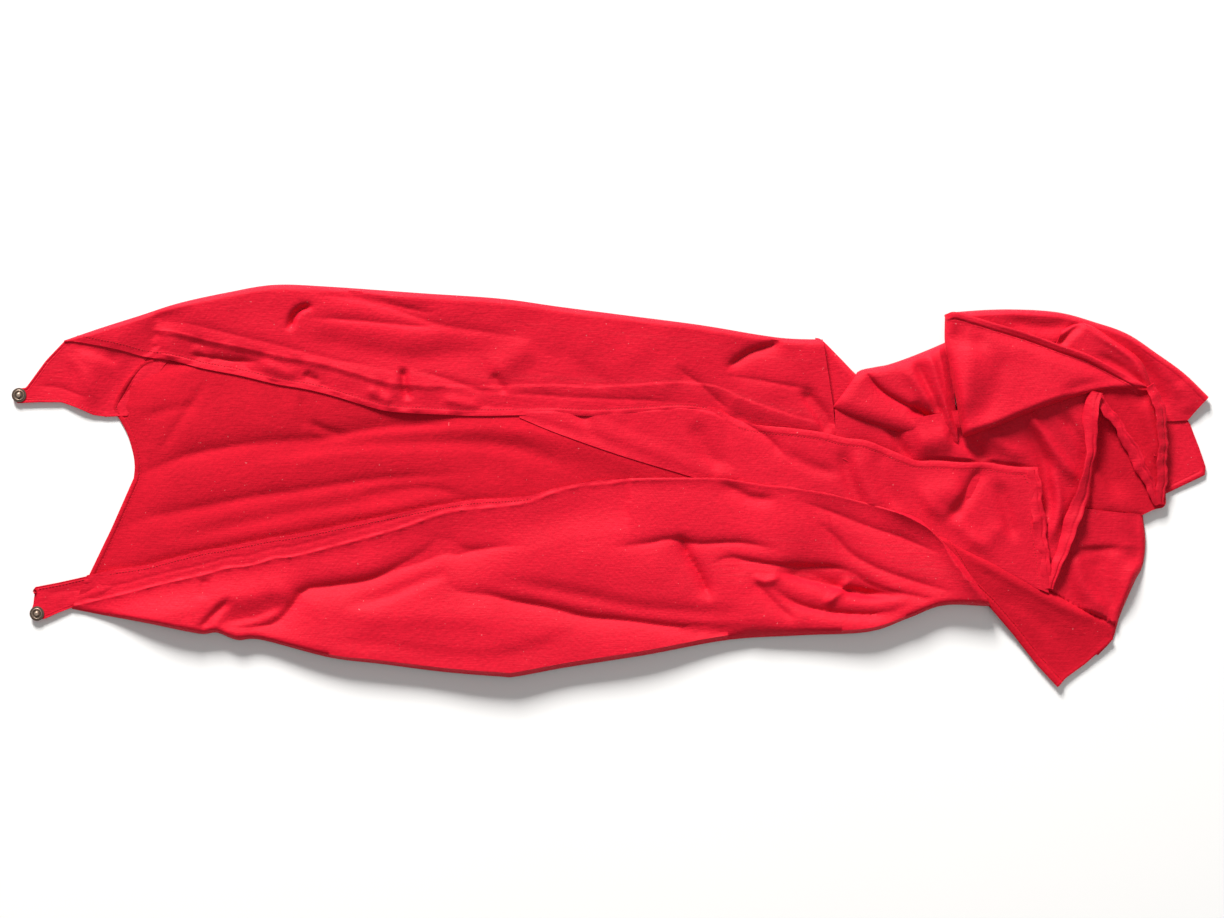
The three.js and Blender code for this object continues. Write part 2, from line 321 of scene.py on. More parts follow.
def rows_at(count, first=0, last=0, share=0.1):
    """Places from 0 to 1 for the rows of a grid, with more of them near either edge."""
    low = np.linspace(0, share, first, endpoint=False) if first else np.zeros(0)
    high = np.linspace(1 - share, 1, last + 1)[1:] if last else np.zeros(0)
    middle = np.linspace(share if first else 0, 1 - share if last else 1, count)
    return np.concatenate([low, middle, high])


def patch(west, east, south, north, across):
    """A Coons patch: the places that blend four edges, with its rows at the shares given by across."""
    west, east = at_shares(west, across), at_shares(east, across)
    u = np.linspace(0, 1, len(south))[:, None, None]
    v = across[None, :, None]
    sides = (1 - u) * west[None] + u * east[None] + (1 - v) * south[:, None] + v * north[:, None]
    low = (1 - u) * south[0] + u * south[-1]
    high = (1 - u) * north[0] + u * north[-1]
    return sides - (1 - v) * low - v * high


def made(name, places, faces, material, hard_above=180):
    """A smooth piece of places and faces, with hard edges where faces meet above an angle in degrees."""
    mesh = bpy.data.meshes.new(name)
    mesh.from_pydata(places.reshape(-1, 3).tolist(), [], faces)
    mesh.polygons.foreach_set("use_smooth", np.ones(len(mesh.polygons), bool))
    if hard_above < 180:
        mesh.set_sharp_from_angle(angle=math.radians(hard_above))
    mesh.materials.append(material)
    piece = bpy.data.objects.new(name, mesh)
    bpy.context.scene.collection.objects.link(piece)
    return piece


def closed_sheet(name, places, thickness, material):
    """A closed sheet: its outer grid, the same grid moved in by the thickness, and a rim between them."""
    rows, columns = places.shape[:2]
    normal = np.cross(np.gradient(places, axis=0), np.gradient(places, axis=1))
    normal /= np.linalg.norm(normal, axis=2, keepdims=True) + 1e-12
    inner = places - normal * np.broadcast_to(thickness, (rows, columns))[..., None]
    inner[..., 2] = np.maximum(inner[..., 2], SKIN)
    index = np.arange(rows * columns).reshape(rows, columns)
    a, b, c, d = index[:-1, :-1], index[1:, :-1], index[1:, 1:], index[:-1, 1:]
    outside = np.stack([a, b, c, d], axis=-1).reshape(-1, 4)
    inside = outside[:, ::-1] + rows * columns
    loop = np.concatenate([index[0, :-1], index[:-1, -1], index[-1, :0:-1], index[:0:-1, 0]])
    ahead = np.roll(loop, -1)
    rim = np.stack([loop, ahead, ahead + rows * columns, loop + rows * columns], axis=-1)
    faces = np.concatenate([outside, inside, rim]).tolist()
    piece = made(name, np.stack([places, inner]), faces, material, 62)
    run_u = np.cumsum(np.linalg.norm(np.diff(places, axis=0, prepend=places[:1]), axis=2), axis=0)
    run_v = np.cumsum(np.linalg.norm(np.diff(places, axis=1, prepend=places[:, :1]), axis=2), axis=1)
    flat = np.stack([run_u, run_v], axis=-1).reshape(-1, 2)
    corner_of = np.zeros(len(piece.data.loops), np.int32)
    piece.data.loops.foreach_get("vertex_index", corner_of)
    layer = piece.data.uv_layers.new(name="cloth")
    layer.data.foreach_set("uv", flat[corner_of % (rows * columns)].astype(np.float32).ravel())
    return piece


def lay(name, borders, across, top, thickness, material):
    """A sheet whose outline is west, east, south and north borders, and whose height is top of x and y."""
    flat = patch(*borders, across)
    x, y = flat[..., 0], flat[..., 1]
    thick = thickness(x, y) if callable(thickness) else thickness
    height = np.maximum(top(x, y), LIE + thick)
    return closed_sheet(name, np.dstack([x, y, height]), thick, material)


def stitches(name, line, top):
    """A row of sewn stitches: short round threads that lie along a line, just proud of the cloth's top."""
    pitch = 3.4 * MM
    half = 1.1 * MM
    radius = 0.32 * MM
    sides = 6
    length = np.linalg.norm(np.diff(line, axis=0), axis=1).sum()
    middle = even(line, max(4, int(length / pitch)))
    s = np.array([-1, -0.6, 0.6, 1])
    girth = np.array([0.15, 1, 1, 0.15])
    turn = np.linspace(0, 2 * np.pi, sides, endpoint=False)
    middle_x, middle_y = middle.T[:, :, None, None]
    ahead_x, ahead_y = heading(middle).T[:, :, None, None]
    over = radius * girth[:, None] * np.cos(turn)
    x = middle_x + ahead_x * half * s[:, None] - ahead_y * over
    y = middle_y + ahead_y * half * s[:, None] + ahead_x * over
    low = top(middle_x + x * 0, middle_y + x * 0)
    z = low + radius * 0.5 + radius * girth[:, None] * np.sin(turn)
    ring = np.arange(len(s) * sides).reshape(len(s), sides)
    nextward = np.roll(ring, -1, axis=1)
    walls = np.stack([ring[:-1], nextward[:-1], nextward[1:], ring[1:]], -1).reshape(-1, 4)[:, ::-1]
    start = np.arange(len(middle))[:, None, None] * ring.size
    caps = np.stack([ring[0], ring[-1][::-1]])
    faces = (walls[None] + start).reshape(-1, 4).tolist() + (caps[None] + start).reshape(-1, sides).tolist()
    return made(name, np.stack([x, y, z], -1), faces, thread)


def cape_seam(name, line, top):
    """A row of stitches that rides on the cape."""
    row = stitches(name, line, top)
    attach(row, "cape")
    return row


def knit(name, red, roughness, sheen):
    """Stretch knit: fine wales and courses, a slow change of tone, lint, and a soft sheen."""
    dye = Dye(name)
    uv = dye.node("ShaderNodeUVMap", {"uv_map": "cloth"}, {})
    place = dye.node("ShaderNodeTexCoord", {}, {}, 3)
    tone = dye.noise(place, 9.0, 3.0)
    slub = dye.noise(place, 240.0, 5.0)
    drawn = dye.node("ShaderNodeMapping", {}, {"Vector": place, "Scale": (90.0, 620.0, 90.0)})
    streaks = dye.noise(drawn, 1.0, 3.0)
    deep = tuple(channel * 0.80 for channel in red)
    pale = tuple(min(1.0, channel * 1.16 + 0.003) for channel in red)
    body = dye.mix(tone, (*deep, 1.0), (*pale, 1.0))
    grain = slub * 0.75 + streaks * 0.55 - 0.30
    body = dye.mix(grain, body, (*[channel * 0.60 for channel in red], 1.0))
    specks = dye.noise(place, 330.0, 1.0)
    lint = dye.node("ShaderNodeValToRGB", {"stops": [(0.0, 0.0), (0.775, 0.0), (0.80, 1.0)]}, {0: specks})
    body = dye.mix(lint * 0.25, body, (0.95, 0.45, 0.45, 1.0))
    rows = []
    for direction, scale, distortion in (("X", 290.0, 0.6), ("Y", 240.0, 0.9)):
        settings = {"wave_type": "BANDS", "bands_direction": direction, "wave_profile": "SIN"}
        inputs = {"Vector": uv, "Scale": scale, "Distortion": distortion}
        rows.append(dye.node("ShaderNodeTexWave", settings, inputs, 1))
    wales, courses = rows
    puckers = dye.noise(place, 38.0, 3.0)
    relief = wales * 0.25 + courses * 0.25 + slub * 1.3 + streaks * 0.8 + puckers * 2.5
    bump = dye.node("ShaderNodeBump", {}, {"Strength": 0.6, "Distance": 0.0006, "Height": relief})
    shine = dye.noise(place, 26.0, 2.0)
    return dye.finish(
        Base_Color=body,
        Roughness=roughness - 0.06 + shine * 0.12,
        Normal=bump,
        Sheen_Weight=sheen,
        Sheen_Roughness=0.45,
        Sheen_Tint=(1.0, 0.30, 0.34, 1.0),
        Specular_IOR_Level=0.14,
    )


INSIDE_RED = (0.700, 0.003, 0.022)
THREAD_RED = (0.60, 0.012, 0.028)
inside_knit = knit("knit_inside", INSIDE_RED, 0.80, 0.04)
thread = knit("sewing_thread", THREAD_RED, 0.45, 0.15)

neck = np.vstack([
    edge((-575, -102), (-549, -48), (-524, 9), count=50),
    route((-524, 9), (-523, 22), (-525, 37), (-531, 57), (-540, 74), (-549, 85), count=51)[1:],
    route((-549, 85), (-542, 99), (-530, 120), (-515, 136), (-498, 145), (-471, 180), count=50)[1:],
])
BACK_SOUTH = route((-575, -102), (-557, -132), (-507, -143), (-452, -154), (-383, -162), (-309, -180),
    (-183, -196), (-113, -202), (-48, -191), (41, -177), (129, -162), (208, -156), (283, -152),
    (351, -130), (412, -114), count=330)
BACK_NORTH = route((-471, 180), (-452, 198), (-419, 206), (-369, 213), (-309, 211), (-210, 205),
    (-56, 189), (98, 169), (197, 154), (241, 143), (277, 110), (324, 110), (373, 92),
    (420, 62), count=330)
BACK_EAST = edge((412, -114), (415, -48), (420, 62), count=120)

BACK_FOLDS = [
    (-5.0, -10, -12, (-548, 0), (-515, 13), (-496, 22), (-463, 34), (-419, 43), (-375, 48), (-320, 51),
        (-298, 56), (-265, 62), (-221, 67), (-171, 68), (-122, 70)),
    (2.6, 9, 16, (-419, 35), (-342, 41), (-265, 53), (-199, 59), (-133, 62), (-56, 53), (27, 26), (109, 7)),
    (-2.8, 11, 8, (-424, 26), (-375, 35), (-320, 42), (-265, 47), (-210, 48), (-155, 48), (-111, 44),
        (-78, 34), (-45, 20), (-12, 7)),
    (-4.0, -8, -10, (-557, -55), (-518, -37), (-483, -30), (-442, -22), (-392, -12), (-347, -6),
        (-303, 1), (-254, 8), (-199, 11), (-133, 15)),
    (-2.0, 9, 7, (-496, -59), (-452, -52), (-397, -40), (-331, -26), (-254, -15), (-177, -4)),
    (-2.8, -5, -7, (-287, -12), (-232, -4), (-194, -3), (-168, -9), (-148, -14)),
    (-2.2, 4, 4, (-335, 72), (-313, 62), (-284, 52)),
    (-1.2, 5, 5, (-436, 125), (-468, 78), (-504, 25)),
    (-1.8, 4, 4, (-339, 103), (-338, 84), (-335, 58)),
    (-1.1, 5, 6, (-518, 73), (-485, 84), (-446, 89)),
    (-3.6, -5, -4, (-606, -108), (-541, -92), (-513, -88), (-478, -79), (-445, -72), (-424, -68),
        (-375, -58), (-342, -53), (-254, -35), (-194, -23), (-150, -16), (-94, -12), (-56, -3)),
    (3.2, 10, 5, (-549, 85), (-542, 99), (-530, 120), (-515, 136), (-498, 145), (-471, 180)),
]
OPEN_TOP = np.array([(-565, 95), (-452, 129), (-331, 105), (-232, 81), (-89, 77), (-12, 56), (115, 9)])
OPEN_LOW = np.array([(-565, -100), (-452, -73), (-342, -52), (-232, -30), (-89, -11), (-12, 7), (115, 9)])


def back_top(x, y):
    """The back panel's upper face: low under the fronts, loftier between them, with creases and a hem."""
    from_neck = away(x, y, neck)
    above = np.interp(x, *OPEN_TOP.T * MM) - y
    below = y - np.interp(x, *OPEN_LOW.T * MM)
    open_share = ease(np.minimum(above, below) / (22 * MM) + 1)
    low = 1.7 * MM + 3.9 * MM * open_share * (0.2 + 0.8 * ease(from_neck / (45 * MM)))
    low += ripples(x, y, 4, 0.16, 0.6 * MM) + ripples(x, y, 8, 0.045, 0.12 * MM)
    low = np.maximum(low + folds(x, y, BACK_FOLDS) * (0.25 + 0.75 * open_share), 1.2 * MM)
    return low + hemmed(from_neck, NECK_HEM)


back_share = np.concatenate([np.linspace(0, 0.02, 16, endpoint=False), np.linspace(0.02, 1, 314)])
back_borders = (neck, BACK_EAST, at_shares(BACK_SOUTH, back_share), at_shares(BACK_NORTH, back_share))
back = lay("back_panel_cloth", back_borders, rows_at(110), back_top, PLY, inside_knit)
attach(back, "cape")
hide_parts("back_panel", "neckline_hem")
neck_seam = cape_seam("neck_stitches", offset(neck[2:-44], -6 * MM), back_top)

# ---- Neck tabs: two plies of the cape's knit with interfacing between, one on each side of the neck ----
# Each is cut in one with its front, turned, pressed and stitched close to its edge.
# The snap goes through its tip.

TAB_PLIES = 2.4 * MM
OUTSIDE_RED = (0.800, 0.005, 0.029)
outside_knit = knit("knit_outside", OUTSIDE_RED, 0.55, 0.06)

LEFT_TAB_SOUTH = edge((-657, 96), (-651, 91), (-628, 92), (-603, 92), (-586, 86), (-568, 78), (-554, 76),
    (-531, 77), count=150)
LEFT_TAB_NORTH = edge((-653, 107), (-642, 108), (-620, 138), (-599, 160), (-562, 155), (-507, 147),
    (-476, 151), count=150)
left_tab_borders = (
    edge((-657, 96), (-657, 101), (-653, 107)),
    edge((-531, 77), (-507, 111), (-476, 151)),
    LEFT_TAB_SOUTH,
    LEFT_TAB_NORTH,
)
LEFT_TAB_FOLDS = [
    (1.0, 6, 8, (-603, 147), (-579, 125), (-564, 90)),
    (-1.2, -4, -6, (-634, 110), (-606, 108), (-570, 95)),
    (-2.6, 12, 7, (-592, 156), (-562, 147), (-535, 134)),
]
NECK_CURL = route((-566, 64), (-553, 86), (-540, 105), (-525, 127), (-504, 145), (-478, 161), count=60)


def left_tab_top(x, y):
    """The left tab's upper face: two plies lying on the table, rising to the snap's height at the tip."""
    fall = ease(beside(x, y, NECK_CURL)[0] / (40 * MM))
    rise = 1.0 * MM * ramp(x, -575, -35) + 6.0 * MM * ramp(x, -605, 40) * fall
    trim = hemmed(np.minimum(away(x, y, LEFT_TAB_SOUTH), away(x, y, LEFT_TAB_NORTH[:62])), 5 * MM)
    return 3.1 * MM + rise + ripples(x, y, 3, 0.05, 0.18 * MM) + folds(x, y, LEFT_TAB_FOLDS) + trim * 0.6


left_tab_rows = rows_at(60, 6, 6)
left_tab = lay("left_tab_cloth", left_tab_borders, left_tab_rows, left_tab_top, TAB_PLIES, outside_knit)
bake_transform(left_tab)
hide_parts("left_tab_root", "left_tab_lower_ply", "left_tab_interfacing", "left_tab_upper_ply")
left_tab_seam = stitches("left_tab_stitches", offset(LEFT_TAB_SOUTH[10:120], 3 * MM), left_tab_top)
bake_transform(left_tab_seam)

RIGHT_TAB_SOUTH = edge((-637, -139), (-635, -146), (-622, -146), (-606, -139), (-590, -133),
    (-562, -125), (-532, -119), count=120)
RIGHT_TAB_NORTH = edge((-632, -113), (-632, -111), (-606, -106), (-575, -99), (-557, -96),
    (-537, -92), count=120)
right_tab_borders = (
    edge((-637, -139), (-634, -130), (-632, -113)),
    edge((-532, -119), (-537, -92)),
    RIGHT_TAB_SOUTH,
    RIGHT_TAB_NORTH,
)
RIGHT_TAB_FOLDS = [
    (1.0, 5, 4, (-606, -139), (-584, -125), (-557, -114), (-532, -108)),
    (-0.8, 4, 4, (-623, -121), (-595, -114), (-562, -108)),
]


def right_tab_top(x, y):
    """The right tab's upper face: two plies lying flat, rising to the snap's height at the tip."""
    rise = 1.0 * MM * ramp(x, -590, -20)
    trim = hemmed(np.minimum(away(x, y, RIGHT_TAB_SOUTH), away(x, y, RIGHT_TAB_NORTH)), 4 * MM)
    lift = 2.2 * MM * ramp(x, -578, 18)
    creases = ripples(x, y, 5, 0.05, 0.15 * MM) + folds(x, y, RIGHT_TAB_FOLDS)
    return 3.1 * MM + rise + lift + creases + trim * 0.6


right_tab_rows = rows_at(40, 6, 6)
right_tab = lay("right_tab_cloth", right_tab_borders, right_tab_rows, right_tab_top, TAB_PLIES, outside_knit)
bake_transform(right_tab)
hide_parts("right_tab_lower_ply", "right_tab_interfacing", "right_tab_upper_ply")
right_tab_seam = stitches("right_tab_stitches", offset(RIGHT_TAB_NORTH[4:80], -3 * MM), right_tab_top)
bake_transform(right_tab_seam)

# ---- Snaps: a stud on each neck tab, with its cap underneath ----
# Stamped brass with a dark bronze plating, coloured lighter on its highest rings.
# The cap's post goes up through the tab and is riveted over inside the stud.


def turned(name, centre, profile, material):
    """A closed turned piece: profile places of radius and height, in millimetres, carried round an axis."""
    sides = 64
    r, z = np.array(profile, float).T * MM
    turn = np.linspace(0, 2 * np.pi, sides, endpoint=False)
    x = centre[0] * MM + r[:, None] * np.cos(turn)
    y = centre[1] * MM + r[:, None] * np.sin(turn)
    ring = np.arange(len(r) * sides).reshape(len(r), sides)
    side = np.roll(ring, -1, axis=1)
    faces = np.stack([ring[:-1], side[:-1], side[1:], ring[1:]], -1).reshape(-1, 4).tolist()
    faces += [ring[0][::-1].tolist(), ring[-1].tolist()]
    return made(name, np.stack([x, y, z[:, None] + 0 * x], -1), faces, material, 50)


def bronze_finish():
    """Dark bronze plating: brown-black lower down, turning to a lighter warm metal colour where it stands
    highest.
    """
    dye = Dye("dark_bronze")
    place = dye.node("ShaderNodeTexCoord", {}, {}, 3)
    height = dye.node("ShaderNodeSeparateXYZ", {}, {0: place}, 2)
    # The colour turns lighter with height, from 5.2 mm up to the top rings, in noisy patches.
    height_share = dye.node("ShaderNodeMapRange", {"clamp": True}, {0: height, 1: 0.0052, 2: 0.0066, 3: 0.0, 4: 1.0})
    grime = dye.noise(place, 900.0, 3.0)
    bronze_colour = dye.mix(height_share * grime * 1.7 + 0.06, (0.085, 0.055, 0.042, 1.0), (0.60, 0.46, 0.36, 1.0))
    scratch = dye.noise(place, 2600.0, 2.0)
    bump = dye.node("ShaderNodeBump", {}, {"Strength": 0.35, "Distance": 0.0001, "Height": scratch})
    return dye.finish(Base_Color=bronze_colour, Roughness=0.30 + grime * 0.25, Metallic=0.85, Normal=bump)


bronze = bronze_finish()
STUD = [
    (1.7, 4.40), (7.4, 4.40), (7.9, 4.55), (8.0, 4.9), (7.9, 5.25), (7.4, 5.42), (6.5, 5.36), (6.2, 5.30),
    (5.9, 5.45), (5.65, 5.95), (5.35, 6.1), (5.0, 6.02), (4.75, 5.6), (4.5, 5.35), (3.4, 5.30), (2.7, 5.42),
    (2.45, 5.8), (2.35, 6.9), (2.25, 7.4), (1.9, 7.7), (1.2, 7.8), (0.2, 7.82),
]
CAP = [
    (0.2, 0.12), (4.0, 0.10), (6.2, 0.16), (7.0, 0.35), (7.2, 0.65), (7.1, 1.0), (6.8, 1.18), (1.9, 1.2),
    (1.6, 1.35), (1.6, 5.9), (1.4, 6.0), (0.2, 6.0),
]
for side_name, centre in (("left", (-649.6, 99.9)), ("right", (-629.9, -140.1))):
    for part, profile in (("stud", STUD), ("cap", CAP)):
        snap = turned(f"{side_name}_snap_{part}_metal", centre, profile, bronze)
        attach(snap, f"{side_name}_tab")
        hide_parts(f"{side_name}_snap_{part}")

# ---- Left front: folded in over the back panel, so its smooth outer face shows ----
# One layer of knit with a 33 mm facing turned back along its free front edge, gathered a little
# by its stitching. The fold at its outer edge is soft, and loose creases run towards the hem.

FACING = 33 * MM
FRONT_HEM = 9 * MM
FOLD_LIE = 1.2 * MM

LEFT_EDGE = np.vstack([
    route((-600, 159), (-584, 158), (-542, 150), (-512, 142), (-483, 138), (-447, 129), (-406, 121),
        (-368, 112), (-333, 106), (-301, 98), (-262, 86), (-236, 81), (-180, 78), (-136, 77),
        (-62, 79), count=230),
    route((-62, 79), (-18, 77), (41, 80), (80, 82), (109, 78), (126, 70), (159, 57), (203, 43),
        (250, 33), count=131)[1:],
])
LEFT_OUTLINE = route((-600, 160), (-562, 173), (-518, 187), (-474, 201), (-419, 213), (-369, 221),
    (-309, 219), (-210, 212), (-122, 206), (-56, 197), (21, 187), (98, 177), (164, 166), (197, 162),
    (233, 161), count=360)
left_front_borders = (
    edge((-600, 159), (-600, 160)),
    edge((250, 33), (247, 62), (244, 90), (239, 122), (233, 161)),
    LEFT_EDGE,
    LEFT_OUTLINE,
)
LEFT_FOLDS = [
    (-1.3, -4, -6, (-507, 183), (-479, 180), (-457, 177), (-413, 166), (-358, 153), (-303, 139),
        (-248, 129), (-223, 123)),
    (-2.0, -4, -6, (-216, 128), (-199, 123), (-177, 117), (-149, 107), (-122, 103)),
    (-1.5, -4, -4, (-144, 106), (-78, 100), (-12, 96), (43, 94), (87, 89)),
    (-5.8, 4, 4, (-228, 132), (-227, 121), (-226, 110), (-221, 92)),
    (-6.5, 4, 3, (-354, 168), (-350, 177), (-347, 186), (-339, 194), (-324, 198)),
    (-2.6, -9, -7, (-383, 223), (-358, 219), (-331, 215), (-298, 208), (-254, 199), (-221, 188),
        (-188, 177), (-138, 169), (-72, 160)),
    (-2.5, -6, -4, (-337, 185), (-287, 182), (-243, 178), (-177, 172)),
    (-2.5, -5, -4, (-309, 216), (-276, 209), (-232, 197), (-188, 187)),
    (-3.5, 15, 20, (-364, 163), (-342, 157), (-309, 154), (-276, 148), (-232, 140), (-199, 139),
        (-166, 144), (-133, 152), (-108, 164)),
    (3.0, 16, 14, (-133, 119), (-108, 139), (-97, 147), (-82, 156)),
    (-2.5, 5, 5, (-130, 125), (-122, 112), (-113, 101)),
    (-0.9, 9, 12, (-67, 154), (-27, 128), (10, 103)),
    (-3.0, -5, -10, (68, 134), (87, 120), (104, 107), (120, 92), (136, 81)),
    (-8, -4, -9, (123, 125), (136, 136), (153, 147), (171, 153), (195, 162)),
    (-6.2, 8, 6, (208, 108), (222, 90), (233, 75), (241, 53)),
    (-1.6, -3, -5, (116, 123), (164, 116), (208, 108), (237, 103)),
    (-6.5, 13, 18, (-628, 136), (-584, 154), (-540, 170), (-496, 183), (-452, 187)),
    (-3.8, -4, -5, (-465, 145), (-446, 142), (-419, 138), (-383, 136)),
    (-3, 5, 5, (-337, 125), (-329, 119), (-320, 112)),
    (1.9, 6, 6, (-460, 154), (-448, 145), (-438, 136)),
    (2.2, 7, 7, (-388, 136), (-368, 128), (-342, 119)),
    (2.5, 6, 6, (-269, 108), (-254, 99), (-238, 90)),
    (2.2, 6, 6, (-188, 97), (-166, 91), (-139, 87)),
    (-2.5, -4, -6, (-540, 161), (-520, 154), (-487, 147)),
]


def uneven_wave(run, pitch, drift, pace):
    """A sine wave of a pitch in millimetres that drifts to and fro, so that no two waves are alike."""
    return np.sin(run * 2 * np.pi / (pitch * MM) + drift * np.sin(run * pace))


def facing_gathers(d, along):
    """Small cross ripples of the facing: waves along the front edge that fade out at its inner side."""
    edge_length = 0.86
    run = along * edge_length
    wave = uneven_wave(run, 41, 3, 19) + 0.7 * np.sin(run * 2 * np.pi / (23 * MM) + d * 90)
    band = ease(d / (6 * MM)) * ease((FACING + 4 * MM - d) / (12 * MM))
    strength = 0.35 + 0.65 * ease((0.45 - along) / 0.3) + 0.5 * np.exp(-(((along - 0.45) / 0.07) ** 2))
    return 0.85 * MM * wave * band * strength


def left_front_top(x, y):
    """The left front's upper face: a rolled outer fold, a gathered facing, loose folds and a free edge."""
    d, along = beside(x, y, LEFT_EDGE)
    inside = np.abs(d)
    outer = away(x, y, LEFT_OUTLINE)
    spread = ramp(x, -600, 120)
    share = share_across(inside, outer)
    loft = (4.1 + 1.0 * spread) * MM + (5.0 * share + 1.4 * ease(inside / FACING)) * MM * spread
    loft += 3.0 * MM * ease((inside - 0.72 * FACING) / (0.3 * FACING)) * ramp(x, -120, -120)
    loft += ripples(x, y, 21, 0.19, 1.0 * MM) + ripples(x, y, 22, 0.06, 0.25 * MM)
    loft += folds(x, y, LEFT_FOLDS) + facing_gathers(inside, along)
    loft += 0.8 * MM * ease((FACING - inside) / (2 * MM)) + hemmed(inside, FRONT_HEM) * 0.8
    loft -= 4.0 * MM * ramp(x, 95, 50) * ease((30 * MM - inside) / (30 * MM))
    loft = np.maximum(loft, back_top(x, y) + 1.6 * MM)
    over_tab = ramp(x, -478, -34)
    loft = np.maximum(loft, (left_tab_top(x, y) + 1.4 * MM) * over_tab)
    roll = rolled(outer + 0.3 * MM, np.minimum(6.5 * MM, 0.4 * (inside + outer) + 1 * MM))
    return between(FOLD_LIE, loft, roll)


def faced(x, y):
    """Two plies where the facing is, and one elsewhere."""
    return PLY + 0.7 * MM * ease((FACING - away(x, y, LEFT_EDGE)) / (2 * MM))


left_front_rows = rows_at(64, 10, 4)
left_front = lay(
    "left_front_cloth", left_front_borders, left_front_rows, left_front_top, faced, outside_knit
)
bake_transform(left_front)
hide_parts("left_front_flap", "left_front_edge", "left_front_facing")
left_seam = stitches("left_front_stitches", offset(LEFT_EDGE[6:300], FRONT_HEM - 2 * MM), left_front_top)
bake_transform(left_seam)

# ---- Left front's lower corner: turned over towards the middle, so its hemmed edges cross the cape ----
# One layer of knit with a narrow hem turned and stitched along its front edge and its bottom edge.
# It slips out from under the left front, lies across it, and ends under the right front.

CORNER_HEM = 10 * MM
LEFT_CORNER_NORTH = route((-100, 86), (-56, 88), (-12, 86), (41, 89), (80, 92), (112, 86), (140, 73),
    (163, 67), (196, 64), (233, 59), (257, 53), (281, 50), (306, 40), (325, 32), (338, 28), (358, 28),
    (386, 26), (412, 26), (430, 23), (449, 21), (468, 21), count=300)
LEFT_CORNER_SOUTH = route((-100, 75), (-56, 57), (10, 34), (76, 14), (115, 2), (164, -11), (208, -20),
    (263, -33), (318, -46), (360, -67), (401, -85), (439, -101), (480, -117), count=300)
RIDGE_NORTH = route((32, 9), (115, 9), (136, 7), (173, 1), (197, -1), (239, -8), (279, -18), (301, -24),
    (334, -34), (350, -47), (362, -59), (398, -74), (480, -117), count=120)
LEFT_CORNER_EAST = route((480, -117), (479, -98), (477, -77), (474, -59), (470, -42), (469, -10),
    (468, 21), count=60)
left_corner_west = edge((-100, 75), (-100, 86), count=60)
left_corner_borders = (left_corner_west, LEFT_CORNER_EAST, LEFT_CORNER_SOUTH, LEFT_CORNER_NORTH)
LEFT_CORNER_FOLDS = [
    (-3.6, 9, 8, (-38, 90), (-27, 68), (-20, 55), (-9, 37)),
    (-3.4, 11, 9, (87, 73), (105, 40), (114, 26), (125, 7)),
    (-3.7, -5, -7, (116, 86), (134, 77), (153, 66), (173, 53), (197, 26)),
    (-2.3, 7, 5, (-12, 68), (21, 59), (54, 46)),
    (2.4, 9, 9, (270, 44), (274, 18), (282, -2), (296, -33)),
    (-4.0, 9, 8, (254, 44), (259, 18), (268, -7), (283, -35)),
    (-2.8, 9, 10, (296, 51), (296, 22), (303, 0), (321, -33)),
    (5.0, 17, 17, (336, -22), (362, -11), (393, -2)),
    (-4.8, 8, 6, (413, 26), (401, 9), (389, -13), (365, -44)),
    (-3.7, 7, 7, (422, 9), (431, -15), (437, -37), (444, -65)),
    (1.8, 10, 10, (431, -37), (412, -59), (384, -59)),
    (2.3, 8, 8, (338, -15), (373, -37), (428, -84)),
    (-2.1, 7, 7, (186, 40), (219, 22), (255, 11)),
]


def left_corner_top(x, y):
    """The turned corner's upper face: low beside the left front, and then on top of it, with two hems."""
    out = ramp(x, 100, 75)
    d_north, d_east = away(x, y, LEFT_CORNER_NORTH), away(x, y, LEFT_CORNER_EAST)
    loft = 4.4 * MM + 5.6 * MM * out + 2.6 * MM * ramp(x, 240, 80)
    loft += ripples(x, y, 31, 0.13, 0.7 * MM) + ripples(x, y, 32, 0.05, 0.22 * MM)
    loft += folds(x, y, LEFT_CORNER_FOLDS)
    loft += hemmed(d_north, CORNER_HEM) * out * 0.5 + hemmed(d_east, CORNER_HEM * 1.3)
    pillow = ease(away(x, y, LEFT_CORNER_SOUTH) / (32 * MM)) * ease(d_north / (8 * MM)) * (1 - out)
    creased = back_top(x, y) + (1.0 + 4.0 * pillow) * MM + folds(x, y, LEFT_CORNER_FOLDS[:2]) * pillow
    loft = np.maximum(loft, creased)
    loft -= 6.5 * MM * ease(beside(x, y, RIDGE_NORTH)[0] / (-12 * MM)) * out
    loft = np.maximum(loft, back_top(x, y) + 1.0 * MM)
    return loft - 1.3 * MM * np.exp(-d_north / (4 * MM)) * out


left_corner_rows = rows_at(56, 0, 12)
left_corner = lay(
    "left_corner_cloth", left_corner_borders, left_corner_rows, left_corner_top, PLY, outside_knit
)
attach(left_corner, "cape")
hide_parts("left_front_corner", "left_corner_front_hem")
corner_seam_line = np.vstack([
    offset(LEFT_CORNER_NORTH[128:-8], -CORNER_HEM + 2 * MM),
    offset(LEFT_CORNER_EAST[::-1][8:], -CORNER_HEM * 1.3 + 2 * MM),
])
corner_seam = cape_seam("left_corner_stitches", corner_seam_line, left_corner_top)

# ---- Right front: folded in like the left one, its front edge standing in a soft ridge ----
# One layer of knit. Beside the neck its faced edge is turned back, so a strip of the matt inside
# shows beyond the ridge. Long creases run down it, and the outer fold is soft.

